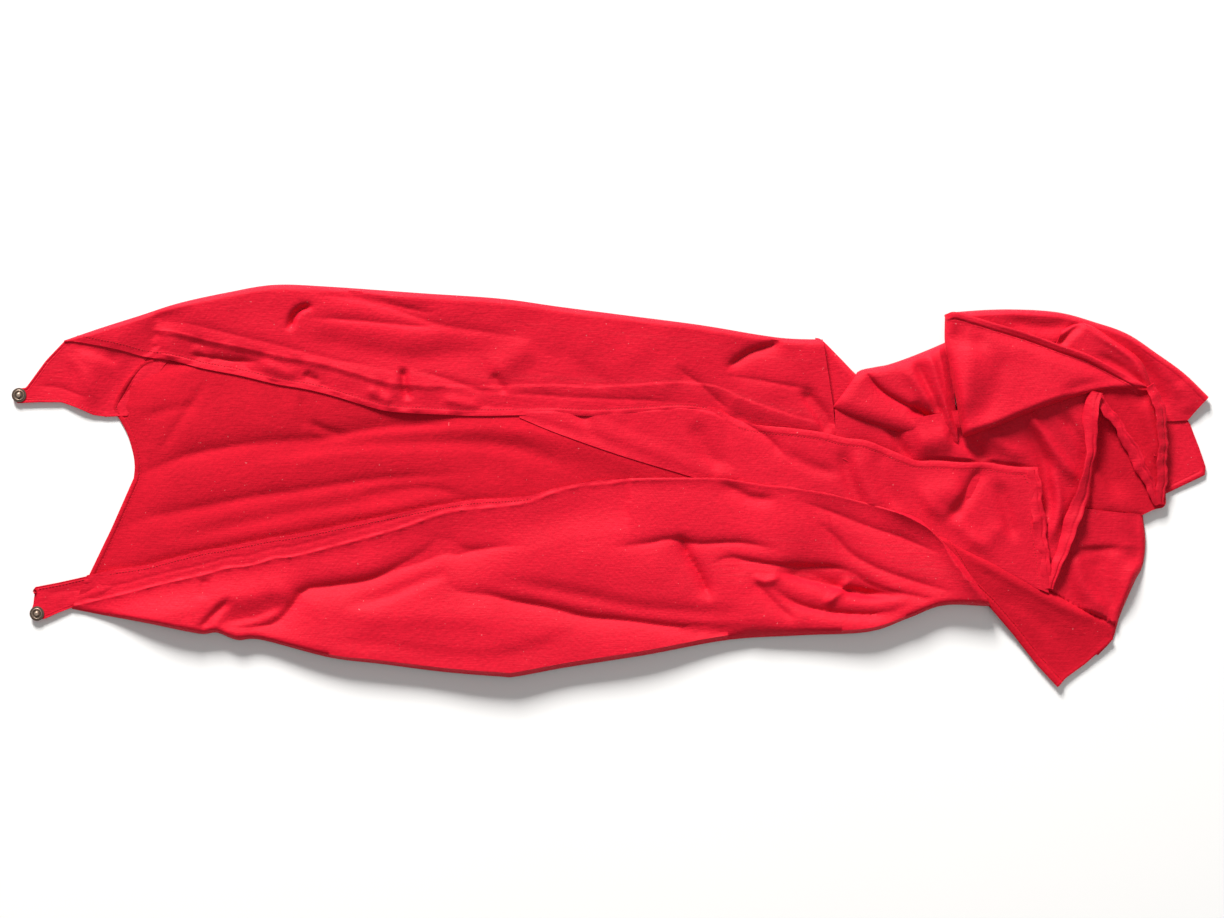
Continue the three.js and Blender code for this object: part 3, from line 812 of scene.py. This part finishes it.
RIGHT_NORTH = np.vstack([
    route((-575, -98), (-540, -91), (-512, -87), (-477, -78), (-444, -70), (-424, -67), (-375, -57),
        (-342, -52), (-254, -34), (-194, -22), (-150, -15), (-94, -11), (-56, -1), (-12, 7), count=220),
    route((-12, 7), (43, 9), (115, 9), (136, 7), (173, 1), (197, -1), (239, -8), (279, -18), (301, -24),
        (334, -34), (350, -47), (362, -59), count=151)[1:],
])
RIGHT_SOUTH = route((-592, -135), (-562, -141), (-507, -151), (-452, -162), (-432, -161), (-410, -169),
    (-383, -169), (-309, -188), (-254, -195), (-183, -204), (-122, -209), (-103, -209), (-48, -199),
    (41, -185), (129, -169), (208, -164), (283, -160), (327, -145), (366, -131), (417, -132), count=370)
right_front_borders = (
    edge((-592, -135), (-586, -123), (-575, -98)),
    edge((417, -132), (398, -103), (379, -77), (362, -59)),
    RIGHT_SOUTH,
    RIGHT_NORTH,
)
RIDGE_LINE = route((-606, -138), (-590, -132), (-532, -118), (-502, -110), (-472, -103), (-445, -97),
    (-420, -90), (-394, -87), (-367, -79), (-342, -76), (-254, -53), (-224, -44), (-180, -29),
    (-136, -24), (-92, -18), (-62, -7), (-32, 0), (-1, 3), (32, 7), (98, 7), count=160)
RIGHT_FOLDS = [
    (-10.5, -11, -16, (-452, -163), (-424, -155), (-397, -155), (-368, -150), (-350, -132), (-336, -114),
        (-309, -110), (-265, -103), (-232, -89), (-204, -78), (-182, -67), (-166, -72), (-144, -70),
        (-116, -66), (-72, -65)),
    (-5.2, 16, 7, (-436, -150), (-408, -145), (-383, -139), (-353, -123)),
    (-3, 9, 6, (-298, -133), (-254, -124), (-221, -111), (-188, -98), (-170, -92)),
    (-8.4, -8, -13, (-199, -84), (-181, -99), (-177, -110), (-163, -116), (-133, -119), (-111, -125),
        (-67, -133), (-28, -143), (16, -147), (71, -154), (153, -161), (208, -161), (296, -158)),
    (-3, 9, 9, (-144, -101), (-78, -111), (-23, -122), (32, -133), (87, -138), (170, -142)),
    (-1.6, 9, 14, (-342, -183), (-317, -180), (-287, -173), (-248, -175), (-204, -183), (-160, -188),
        (-122, -188), (-78, -177), (-45, -161), (-12, -143)),
    (-4, 4, 5, (-452, -161), (-443, -150), (-433, -139), (-414, -121)),
    (-9, -5, -8, (74, -48), (85, -75), (93, -88), (101, -103), (112, -130)),
    (-4.6, -5, -10, (-5, -68), (43, -62), (65, -58), (98, -63), (142, -62), (195, -72)),
    (-5.5, -4, -16, (105, -88), (120, -81), (134, -78), (153, -82), (197, -88), (241, -89), (261, -94),
        (274, -112)),
    (-13, -15, -6, (178, -92), (222, -103), (252, -112), (279, -119), (314, -125)),
    (4.5, 4, 5, (233, -132), (244, -121), (255, -112), (263, -99)),
    (-8, -8, -6, (169, -103), (182, -114), (200, -127), (225, -135), (263, -140), (307, -139), (332, -125)),
    (-3.8, 4, 4, (250, -112), (274, -116), (296, -118), (325, -122)),
    (-4.5, -5, -8, (149, -95), (158, -103), (167, -114), (181, -129), (208, -152)),
    (3.2, 4, 5, (156, -95), (164, -103), (175, -103), (186, -97)),
    (-4.2, -5, -10, (214, -29), (230, -42), (245, -54), (263, -73), (291, -89), (329, -103), (384, -119)),
    (-3.5, -6, -11, (197, -13), (230, -24), (252, -32), (285, -45), (318, -56), (368, -77)),
    (-3, -3, -5, (255, -81), (274, -100), (294, -111), (368, -128)),
    (11.5, -8, -14, (274, -13), (301, -24), (332, -37), (357, -55), (379, -88), (401, -117), (420, -139)),
    (-2, 5, 5, (-444, -99), (-446, -112), (-448, -125)),
    (-3, 5, 8, (116, 2), (134, -3), (156, -13), (186, -15)),
    (1.5, 22, 22, (-56, -81), (10, -81), (76, -98)),
    (2.2, 18, 14, (-309, -147), (-232, -143), (-155, -143), (-100, -154)),
]


def right_front_top(x, y):
    """The right front's upper face: inside strip, front ridge, loose folds, and a rolled outer fold."""
    d = beside(x, y, RIDGE_LINE)[0]
    edge_gap = away(x, y, RIGHT_NORTH)
    outer = away(x, y, RIGHT_SOUTH)
    inside = np.minimum(np.abs(d), edge_gap)
    near_neck = ramp(x, -470, -110)
    share = share_across(edge_gap, outer)
    share = share**0.8 * np.where(x < 20 * MM, ease((edge_gap - 22 * MM) / (40 * MM)), 1)
    loft = 7.6 * MM + 12.5 * MM * share * (1 - 0.92 * near_neck) - 3.0 * MM * near_neck
    loft += ripples(x, y, 41, 0.20, 1.1 * MM) + ripples(x, y, 42, 0.06, 0.25 * MM) + folds(x, y, RIGHT_FOLDS)
    strip = ease((d + 1 * MM) / (5 * MM)) * ramp(x, 60, -60)
    ridge_width = np.where(d > 0, 1.3 * MM, 2.6 * MM)
    lumps = 1 + 0.35 * uneven_wave(x, 27, 2, 31) + 0.25 * uneven_wave(x, 11.1, 0, 0)
    ridge = 1.3 * MM * lumps * np.exp(-np.abs(d) / ridge_width) * ramp(x, 110, -100)
    front_lip = 3.0 * MM * np.exp(-edge_gap / (6 * MM)) * ramp(x, -30, 90)
    groove = 0.4 * MM * np.exp(-(((d - 11 * MM) / (2.2 * MM)) ** 2)) * strip
    loft += ridge + front_lip - 0.4 * MM * strip - groove
    loft += 0.25 * MM * uneven_wave(x, 31, 2, 40) * strip
    loft = np.maximum(loft, back_top(x, y) + 1.4 * MM)
    roll = rolled(outer + 0.3 * MM, np.minimum(7 * MM, 0.4 * (outer + edge_gap) + 1 * MM))
    lip = np.where(x > 20 * MM, rolled(edge_gap + 1.5 * MM, 3.5 * MM), 1.0)
    return between(FOLD_LIE, loft, roll * (0.45 + 0.55 * lip))


right_front_rows = rows_at(86, 4, 14, 0.12)
right_front = lay(
    "right_front_cloth", right_front_borders, right_front_rows, right_front_top, PLY, outside_knit
)
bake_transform(right_front)
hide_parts("right_front_flap", "right_front_edge", "right_front_facing")
right_seam = stitches("right_front_stitches", offset(RIGHT_NORTH[10:190], -4 * MM), right_front_top)
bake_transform(right_seam)

# ---- Right front's lower corner: a pointed corner turned over, its hems on two sides ----
# One layer of knit, hemmed along the front edge and the bottom edge, lying on the folds of the hem.

RIGHT_CORNER_SOUTH = edge((358, -54), (379, -87), (392, -110), (415, -132), (442, -163), (467, -195),
    (491, -221), count=170)
RIGHT_CORNER_NORTH = route((359, -53), (372, -58), (398, -72), (425, -84), (453, -99), (480, -114),
    (522, -138), (543, -147), count=170)
RIGHT_CORNER_EAST = edge((491, -221), (500, -211), (522, -195), (552, -168), (543, -147), count=60)
right_corner_west = edge((358, -54), (359, -53), count=60)
right_corner_borders = (right_corner_west, RIGHT_CORNER_EAST, RIGHT_CORNER_SOUTH, RIGHT_CORNER_NORTH)
RIGHT_CORNER_FOLDS = [
    (2.4, 6, 6, (373, -65), (412, -88), (453, -110), (494, -132), (538, -154)),
    (-1.6, 9, 9, (417, -114), (450, -132), (494, -165)),
    (1.4, 12, 12, (439, -125), (472, -169), (497, -200)),
    (-1.4, 7, 7, (525, -139), (534, -161), (543, -178)),
]


def right_corner_top(x, y):
    """The pointed corner's upper face: a soft fold along its top edge and a hem along the lower ones."""
    d_top, d_low = away(x, y, RIGHT_CORNER_NORTH), away(x, y, RIGHT_CORNER_SOUTH)
    d_east = away(x, y, RIGHT_CORNER_EAST)
    fall = ramp(y, -75, -130)
    loft = 13.0 * MM - 9.0 * MM * fall + folds(x, y, RIGHT_CORNER_FOLDS) * 0.8
    loft += ripples(x, y, 51, 0.10, 0.6 * MM) + hemmed(d_low, CORNER_HEM) * 1.5 + hemmed(d_east, 6 * MM) * 0.5
    return between(2.0 * MM, loft, 0.35 + 0.65 * rolled(d_top + 0.3 * MM, 7 * MM))


right_corner_rows = rows_at(60, 12, 6, 0.12)
right_corner = lay(
    "right_corner_cloth", right_corner_borders, right_corner_rows, right_corner_top, PLY, inside_knit
)
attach(right_corner, "cape")
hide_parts("right_front_corner", "right_corner_front_hem")
point_seam_line = offset(RIGHT_CORNER_SOUTH[14:-4], CORNER_HEM - 2 * MM)
point_seam = cape_seam("right_corner_stitches", point_seam_line, right_corner_top)

# ---- Side pleat and lump: where the left side is pushed together before the hem ----
# The back and the left front are one cloth here, one layer of knit on each side of the fold.
# It is bunched into a flat pleat, a rounded lump and a narrow ridge.


def knit_piece(name, borders, rows, top, cloth, nodes):
    piece = lay(name, borders, rows, top, PLY, cloth)
    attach(piece, "cape")
    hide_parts(*nodes)
    return piece


pleat_borders = (
    edge((244, 81), (235, 120), (225, 163)),
    edge((259, 77), (267, 99), (277, 125)),
    edge((244, 81), (250, 79), (259, 77)),
    route((225, 163), (233, 160), (252, 141), (271, 122), (277, 125), count=40),
)
PLEAT_CREASE = route((229, 163), (237, 139), (240, 117), (245, 84), count=36)


def pleat_top(x, y):
    """The flat pleat: a facet that climbs away from a sharp valley on its left."""
    climb = 6.5 * MM * ease(away(x, y, PLEAT_CREASE) / (24 * MM))
    outer = away(x, y, pleat_borders[3])
    return between(2.0 * MM, 4.2 * MM + climb, rolled(outer + 0.2 * MM, 8 * MM))


knit_piece(
    "side_pleat_cloth", pleat_borders, rows_at(40), pleat_top, outside_knit,
    ["side_pleat"],
)

LUMP_SOUTH = route((243, 86), (263, 76), (296, 65), (327, 57), (351, 51), (381, 43), count=130)
LUMP_NORTH = route((271, 125), (277, 128), (292, 131), (307, 134), (335, 144), (366, 157),
    (373, 161), count=130)
lump_borders = (
    edge((243, 86), (258, 106), (271, 125), count=50),
    edge((381, 43), (377, 106), (373, 161), count=50),
    LUMP_SOUTH,
    LUMP_NORTH,
)
FAN_WEST = route((386, 53), (381, 78), (376, 106), (371, 133), (366, 156), (366, 188), count=80)
LUMP_FOLDS = [
    (-7.0, -3, -9, (268, 136), (281, 123), (296, 106), (318, 92), (351, 75), (384, 46)),
    (4.4, 5, 6, (338, 156), (351, 136), (359, 109), (368, 84), (380, 53)),
    (-4.0, 5, 5, (332, 147), (340, 125), (351, 101), (369, 66)),
    (-5.0, 8, 7, (327, 90), (340, 81), (351, 73), (360, 62)),
    (2.8, 7, 7, (316, 134), (335, 112), (358, 84)),
]


def lump_top(x, y):
    """The rounded lump: high in its middle, rolled under along its lower edge, creased at its right end."""
    low, high = away(x, y, LUMP_SOUTH), away(x, y, LUMP_NORTH)
    west = away(x, y, lump_borders[0])
    loft = 15.5 * MM + ripples(x, y, 61, 0.08, 0.8 * MM) + folds(x, y, LUMP_FOLDS)
    loft = np.minimum(loft, 9 * MM + 0.9 * np.maximum(beside(x, y, FAN_WEST)[0], 0))
    roll = rolled(low + 0.2 * MM, 17 * MM) * rolled(high + 0.3 * MM, 13 * MM)
    roll = roll * (0.55 + 0.45 * rolled(west, 12 * MM))
    return between(1.5 * MM, loft, (0.30 + 0.70 * roll) * rolled(high + 0.3 * MM, 6 * MM))


lump = knit_piece(
    "side_lump_cloth", lump_borders, rows_at(80, 10, 6, 0.12), lump_top, outside_knit,
    ["side_lump", "side_ridge"],
)

# ---- Hem folds: the bottom third of the cape, pushed together into loose folds ----
# One continuous layer of knit whose turned and stitched hem wanders over and under itself.
# Each fold is laid as its own sheet, tucked under the next, from the table up.

ARC_SOUTH = route((371, 180), (412, 169), (457, 155), (511, 139), (560, 119), (589, 95), (604, 73),
    (634, 72), count=170)
ARC_NORTH = route((366, 187), (379, 191), (434, 194), (490, 191), (532, 180), (568, 167), (601, 145),
    (630, 124), (657, 98), count=170)
arc_borders = (
    edge((371, 180), (366, 187)),
    edge((634, 72), (644, 84), (657, 98)),
    ARC_SOUTH,
    ARC_NORTH,
)
ARC_FOLDS = [
    (3.0, 6, 8, (532, 180), (560, 167), (588, 147), (610, 123), (626, 90)),
    (-4.2, 5, 5, (514, 180), (505, 168), (497, 156), (483, 143)),
    (-3.0, 8, 8, (428, 185), (450, 178), (479, 174), (512, 180)),
    (-3.0, 8, 8, (560, 150), (587, 125), (604, 97), (613, 73)),
    (2.0, 9, 9, (622, 117), (635, 95), (633, 77)),
]


def arc_top(x, y):
    """The outer fold of the hem end: highest beside the fan, falling to the table at its curved outline."""
    out, inner = away(x, y, ARC_NORTH), away(x, y, ARC_SOUTH)
    east = ramp(x, 470, 190)
    share = share_across(inner, out)
    loft = 9 * MM + 3 * MM * share + 6 * MM * ramp(x, 600, -200) - 4 * MM * east
    loft += folds(x, y, ARC_FOLDS) + ripples(x, y, 71, 0.10, 0.8 * MM)
    roll = rolled(out + 0.3 * MM, 8 * MM - 3 * MM * east)
    return between(1.3 * MM, loft, roll) + hemmed(out, CORNER_HEM) * ramp(x, 560, 40) * 0.8


arc = knit_piece(
    "hem_outer_arc_cloth", arc_borders, rows_at(50, 0, 12), arc_top, outside_knit,
    ["hem_arc_outer"],
)

SIDE_FOLD_SOUTH = edge((602, -22), (609, -9), (630, 1), (653, 12), (654, 21), count=60)
SIDE_FOLD_NORTH = edge((589, 89), (601, 79), (632, 75), (637, 68), count=60)
side_fold_borders = (
    edge((602, -22), (593, 34), (589, 89), count=60),
    edge((654, 21), (647, 42), (637, 68), count=60),
    SIDE_FOLD_SOUTH,
    SIDE_FOLD_NORTH,
)


def side_fold_top(x, y):
    """The flat end of a fold that shows beyond the hem's band, with a hem along its outer edges."""
    south, east = away(x, y, SIDE_FOLD_SOUTH), away(x, y, side_fold_borders[1])
    slope = 2.6 * MM + 2.6 * MM * ramp(x, 640, -60) + ripples(x, y, 72, 0.06, 0.6 * MM)
    return slope + hemmed(np.minimum(south, east), 8 * MM) * 0.8


knit_piece(
    "hem_side_fold_cloth", side_fold_borders, rows_at(44, 10), side_fold_top, outside_knit,
    ["hem_side_fold"],
)

LOWER_NORTH = route((505, -22), (533, -26), (560, -29), (585, -31), count=90)
LOWER_SOUTH = route((472, -114), (486, -132), (503, -154), (525, -180), (536, -186), count=90)
LOWER_EAST = route((536, -186), (552, -168), (559, -145), (568, -123), (577, -103), (585, -87),
    (588, -61), (585, -31), count=90)
lower_west = edge((472, -114), (490, -70), (505, -22), count=90)
lower_borders = (lower_west, LOWER_EAST, LOWER_SOUTH, LOWER_NORTH)
LOWER_FOLDS = [
    (1.4, -3, -4, (492, -69), (527, -66), (560, -65), (589, -64)),
    (-2.6, 4, 7, (492, -72), (527, -69), (569, -67)),
    (3.4, 7, 9, (497, -66), (509, -76), (514, -95), (520, -112), (536, -132), (552, -147)),
    (-3.4, 10, 10, (490, -81), (497, -103), (505, -123), (521, -147)),
    (-4.0, 12, 12, (532, -59), (541, -103), (552, -130), (549, -158)),
    (2.6, 8, 8, (574, -77), (569, -103), (563, -125), (552, -147)),
    (-3.4, 9, 12, (576, -11), (576, -48), (578, -73), (571, -97)),
]


def lower_top(x, y):
    """The lowest fold: a soft panel with a ridge from its inner corner, rolled under at its outer edge."""
    loft = 9.5 * MM + folds(x, y, LOWER_FOLDS) + ripples(x, y, 73, 0.09, 0.7 * MM)
    beyond = beside(x, y, RIGHT_CORNER_NORTH)[0]
    ceiling = np.maximum(right_corner_top(x, y) - 1.6 * MM, 2.5 * MM) + 14 * MM * ease(beyond / (12 * MM))
    loft = np.clip(loft, 2.5 * MM, ceiling)
    return between(FOLD_LIE, loft, rolled(away(x, y, LOWER_EAST) + 0.2 * MM, 9 * MM))


lower = knit_piece(
    "hem_lower_fold_cloth", lower_borders, rows_at(72), lower_top, outside_knit,
    ["hem_lower_fold"],
)

PANEL_SOUTH = route((508, -31), (522, -30), (547, -34), (579, -34), count=90)
PANEL_NORTH = edge((525, 110), (555, 112), (589, 112), count=90)
panel_borders = (
    edge((508, -31), (521, 33), (525, 110), count=90),
    route((579, -34), (596, -26), (608, -22), (609, -7), (606, 36), (599, 78), (589, 112), count=90),
    PANEL_SOUTH,
    PANEL_NORTH,
)
PANEL_FOLDS = [
    (-5.0, 13, 12, (527, 90), (536, 55), (547, 20), (563, -22)),
    (2.4, 10, 10, (514, 26), (534, 2), (552, -37)),
    (4.0, 7, 8, (582, 103), (589, 75), (596, 51), (602, 18)),
    (-2.4, 9, 9, (547, 117), (571, 75), (591, 18)),
]


def panel_top(x, y):
    """The hollow panel inside the hem: it falls from under the fan to a rolled lower edge."""
    south = away(x, y, PANEL_SOUTH)
    fall = ramp(y, -30, 140)
    loft = 8.0 * MM + 8.0 * MM * fall + folds(x, y, PANEL_FOLDS) + ripples(x, y, 74, 0.07, 0.6 * MM)
    return between(1.5 * MM, loft, rolled(south + 0.3 * MM, 10 * MM))


panel = knit_piece(
    "hem_inner_panel_cloth", panel_borders, rows_at(72, 8), panel_top, inside_knit,
    ["hem_inner_panel"],
)

VALLEY_SOUTH = edge((248, 33), (285, 15), (335, -2), (384, -29), (431, -70), (479, -119), count=160)
VALLEY_NORTH = edge((246, 84), (285, 79), (329, 75), (376, 84), (425, 92), (474, 106),
    (532, 117), count=160)
valley_borders = (
    edge((248, 33), (246, 84), count=90),
    route((479, -119), (488, -88), (503, -42), (519, 2), (527, 51), (532, 114), count=90),
    VALLEY_SOUTH,
    VALLEY_NORTH,
)
VALLEY_FOLDS = [
    (-5.0, -14, -4, (247, 53), (272, 45), (302, 35), (335, 26), (384, 22)),
    (6.0, 6, 9, (448, 92), (458, 78), (472, 57), (491, 32), (519, -2)),
    (-6.5, 8, 9, (446, 79), (459, 64), (470, 44), (478, 18), (481, -15), (476, -53)),
    (5.0, 6, 6, (479, 31), (486, 9), (491, -15), (488, -40), (481, -68)),
    (-3.6, 6, 6, (490, 86), (503, 68), (519, 40), (527, 13)),
    (-5.4, 8, 8, (371, 64), (387, 51), (400, 40), (417, 22)),
    (3.2, 9, 9, (393, 68), (415, 55), (437, 40), (457, 24)),
    (-5.4, 8, 7, (303, 73), (312, 57), (318, 44), (327, 24)),
    (5.0, 15, 15, (332, 44), (351, 48), (376, 55)),
    (-3.0, 6, 6, (494, -55), (505, -33), (514, -7)),
]


def valley_top(x, y):
    """Deep soft folds that spread from under the fan and run down beside the turned corner."""
    climb = ramp(y, -10, 90) * ramp(x, 290, 60)
    loft = 8.5 * MM + 6.5 * MM * climb + folds(x, y, VALLEY_FOLDS) + ripples(x, y, 75, 0.07, 0.7 * MM)
    beyond = np.maximum(beside(x, y, LEFT_CORNER_NORTH)[0], -beside(x, y, LEFT_CORNER_EAST)[0])
    return np.clip(loft, 3 * MM, 8.5 * MM + 14 * MM * ease(beyond / (16 * MM)))


valley = knit_piece(
    "hem_valley_cloth", valley_borders, rows_at(90), valley_top, outside_knit,
    ["hem_valley_folds"],
)

INNER_ARC_SOUTH = route((483, 147), (522, 132), (555, 114), (582, 95), (590, 68), (595, 33), count=110)
INNER_ARC_NORTH = route((494, 172), (520, 179), (555, 158), (581, 139), (593, 112), (604, 77),
    (609, 33), count=110)
inner_arc_borders = (
    edge((483, 147), (490, 161), (494, 172)),
    edge((595, 33), (602, 33), (609, 33)),
    INNER_ARC_SOUTH,
    INNER_ARC_NORTH,
)
INNER_ARC_FOLDS = [
    (-5.0, 4, 5, (488, 150), (497, 161), (505, 169), (519, 180)),
    (2.6, 5, 5, (521, 172), (549, 156), (576, 134), (591, 103)),
    (-3.0, 5, 5, (527, 147), (552, 134), (574, 119), (589, 99)),
]


def inner_arc_top(x, y):
    """The second fold of the hem end, rolled along its outer edge, between the fan and the outer fold."""
    out = away(x, y, INNER_ARC_NORTH)
    east = ramp(x, 520, 80)
    loft = 19 * MM - 5 * MM * east + folds(x, y, INNER_ARC_FOLDS) + ripples(x, y, 76, 0.06, 0.5 * MM)
    return between(8 * MM - 4 * MM * east, loft, rolled(out + 0.3 * MM, 9 * MM))


knit_piece(
    "hem_inner_arc_cloth", inner_arc_borders, rows_at(34, 0, 8), inner_arc_top, outside_knit,
    ["hem_arc_inner"],
)

FAN_NORTH = route((366, 188), (379, 190), (417, 179), (457, 167), (490, 155), (522, 144), (555, 127),
    (589, 108), count=170)
FAN_SOUTH = route((386, 53), (404, 59), (425, 66), (448, 76), (474, 86), (497, 94), (522, 101),
    (549, 106), (586, 107), count=170)
fan_borders = (FAN_WEST, edge((586, 107), (589, 108), count=80), FAN_SOUTH, FAN_NORTH)
FAN_FOLDS = [
    (-3.6, 5, 9, (393, 180), (428, 169), (472, 154), (516, 136), (556, 117), (582, 106)),
    (4.6, 10, 14, (380, 68), (387, 99), (391, 139), (389, 176)),
    (-2.2, 12, 12, (398, 64), (417, 99), (433, 150)),
    (-3.1, 8, 6, (486, 97), (516, 108), (549, 112), (578, 108)),
    (-2.4, 10, 10, (367, 172), (390, 156), (417, 161)),
]


def fan_top(x, y):
    """The bright fan on top: a raised triangle, rolled under on two edges and hemmed along its top."""
    west, south, north = away(x, y, FAN_WEST), away(x, y, FAN_SOUTH), away(x, y, FAN_NORTH)
    east = ramp(x, 380, 210)
    north_share = share_across(south, north)
    loft = 29 * MM - 0.5 * MM * east - 7.5 * MM * north_share
    loft += folds(x, y, FAN_FOLDS) + ripples(x, y, 77, 0.09, 0.8 * MM) + hemmed(north, CORNER_HEM) * 1.6
    roll = rolled(west + 0.3 * MM, 10 * MM) * rolled(south + 0.3 * MM, 9 * MM)
    return between(12 * MM, loft, roll)


knit_piece(
    "hem_fan_cloth", fan_borders, rows_at(70, 8, 14, 0.12), fan_top, outside_knit,
    ["hem_fan", "hem_fan_hem"],
)
cape_seam("hem_fan_stitches", offset(FAN_NORTH[6:-12], -CORNER_HEM + 2 * MM), fan_top)


def band(name, line, width, height, lean, node, turns, columns=15):
    """A folded hem band along a line: a flat oval section, wider at places, that leans as it runs.

    Width and height are in millimetres and lean in radians, each given at even steps along the line.
    """
    along = np.linspace(0, 1, len(line))[:, None]
    wide, high, tilt = [
        np.interp(along, np.linspace(0, 1, len(values)), values) for values in (width, height, lean)
    ]
    wide, high, tilt = wide * MM, high * MM, tilt + turns * np.sin(along * 9)
    sideways = leftward(line)
    s = np.linspace(-1, 1, columns)[None]
    pucker = ripples(along * 0.2 + 0 * s, s * 0.006 + 0 * along, columns, 0.034, 0.42 * MM)
    groove = 1.0 * MM * np.exp(-(((s - 0.45) / 0.16) ** 2))
    dome = 1.1 * MM * np.sqrt(np.clip(1 - s**2, 0, 1)) - groove + pucker
    sway = 0.8 * MM * np.sin(along * 23 + columns) + 0.4 * MM * np.sin(along * 61 + 2)
    x = line[:, :1] + sideways[:, :1] * (wide * s / 2 + sway)
    y = line[:, 1:] + sideways[:, 1:] * (wide * s / 2 + sway)
    z = high + dome + wide * s / 2 * np.tan(tilt)
    piece = closed_sheet(name, np.dstack([x, y, z]), 1.3 * MM, outside_knit)
    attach(piece, "cape")
    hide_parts(node)


TWIST_LINE = route((530, 103), (525, 81), (524, 57), (525, 33), (520, 7), (511, -22), (502, -48),
    (492, -77), (481, -112), count=150)
band(
    "hem_twisted_band", TWIST_LINE,
    width=[13, 16, 12, 9, 15, 17, 13, 11, 8],
    height=[23, 22, 21, 20, 18, 17, 16, 15, 13],
    lean=[0.3, 0.5, 0.1, -0.4, -0.2, 0.4, 0.5, 0.3, 0.1],
    node="hem_twist", turns=0.12,
)
CORNER_BAND_LINE = route((463, 18), (464, 0), (467, -22), (470, -44), (472, -65), (476, -87),
    (479, -112), count=110)
band(
    "hem_corner_band", CORNER_BAND_LINE,
    width=[12, 15, 13, 16, 14, 12, 13, 10],
    height=[14.2, 14.4, 14.2, 13.8, 13.4, 13.2, 13.4, 13.2],
    lean=[0.05, 0.25, 0.1, -0.15, 0.15, 0.3, 0.1, 0.0],
    node="left_corner_bottom_hem", turns=0.06, columns=17,
)
STRIP_LINE = route((534, 97), (544, 81), (556, 66), (565, 50), (575, 33), (582, 18), (592, 0),
    (601, -20), count=130)
band(
    "hem_strip_band", STRIP_LINE,
    width=[9, 12, 10, 13, 14, 12, 11, 9],
    height=[21, 20, 18, 17, 15, 14, 12, 9],
    lean=[-0.3, -0.4, -0.2, 0.3, 0.4, 0.2, -0.1, -0.2],
    node="hem_turn", turns=0.08,
)
TURN_LINE = route((589, 110), (597, 95), (602, 73), (604, 51), (604, 26), (604, 7), (603, -20), count=110)
band(
    "hem_turn_band", TURN_LINE,
    width=[10, 13, 12, 11, 12, 12, 9],
    height=[22, 21, 20, 18, 15, 12, 9],
    lean=[-0.3, -0.5, -0.4, -0.3, -0.3, -0.2, -0.2],
    node="hem_turn_hem", turns=0.06,
)
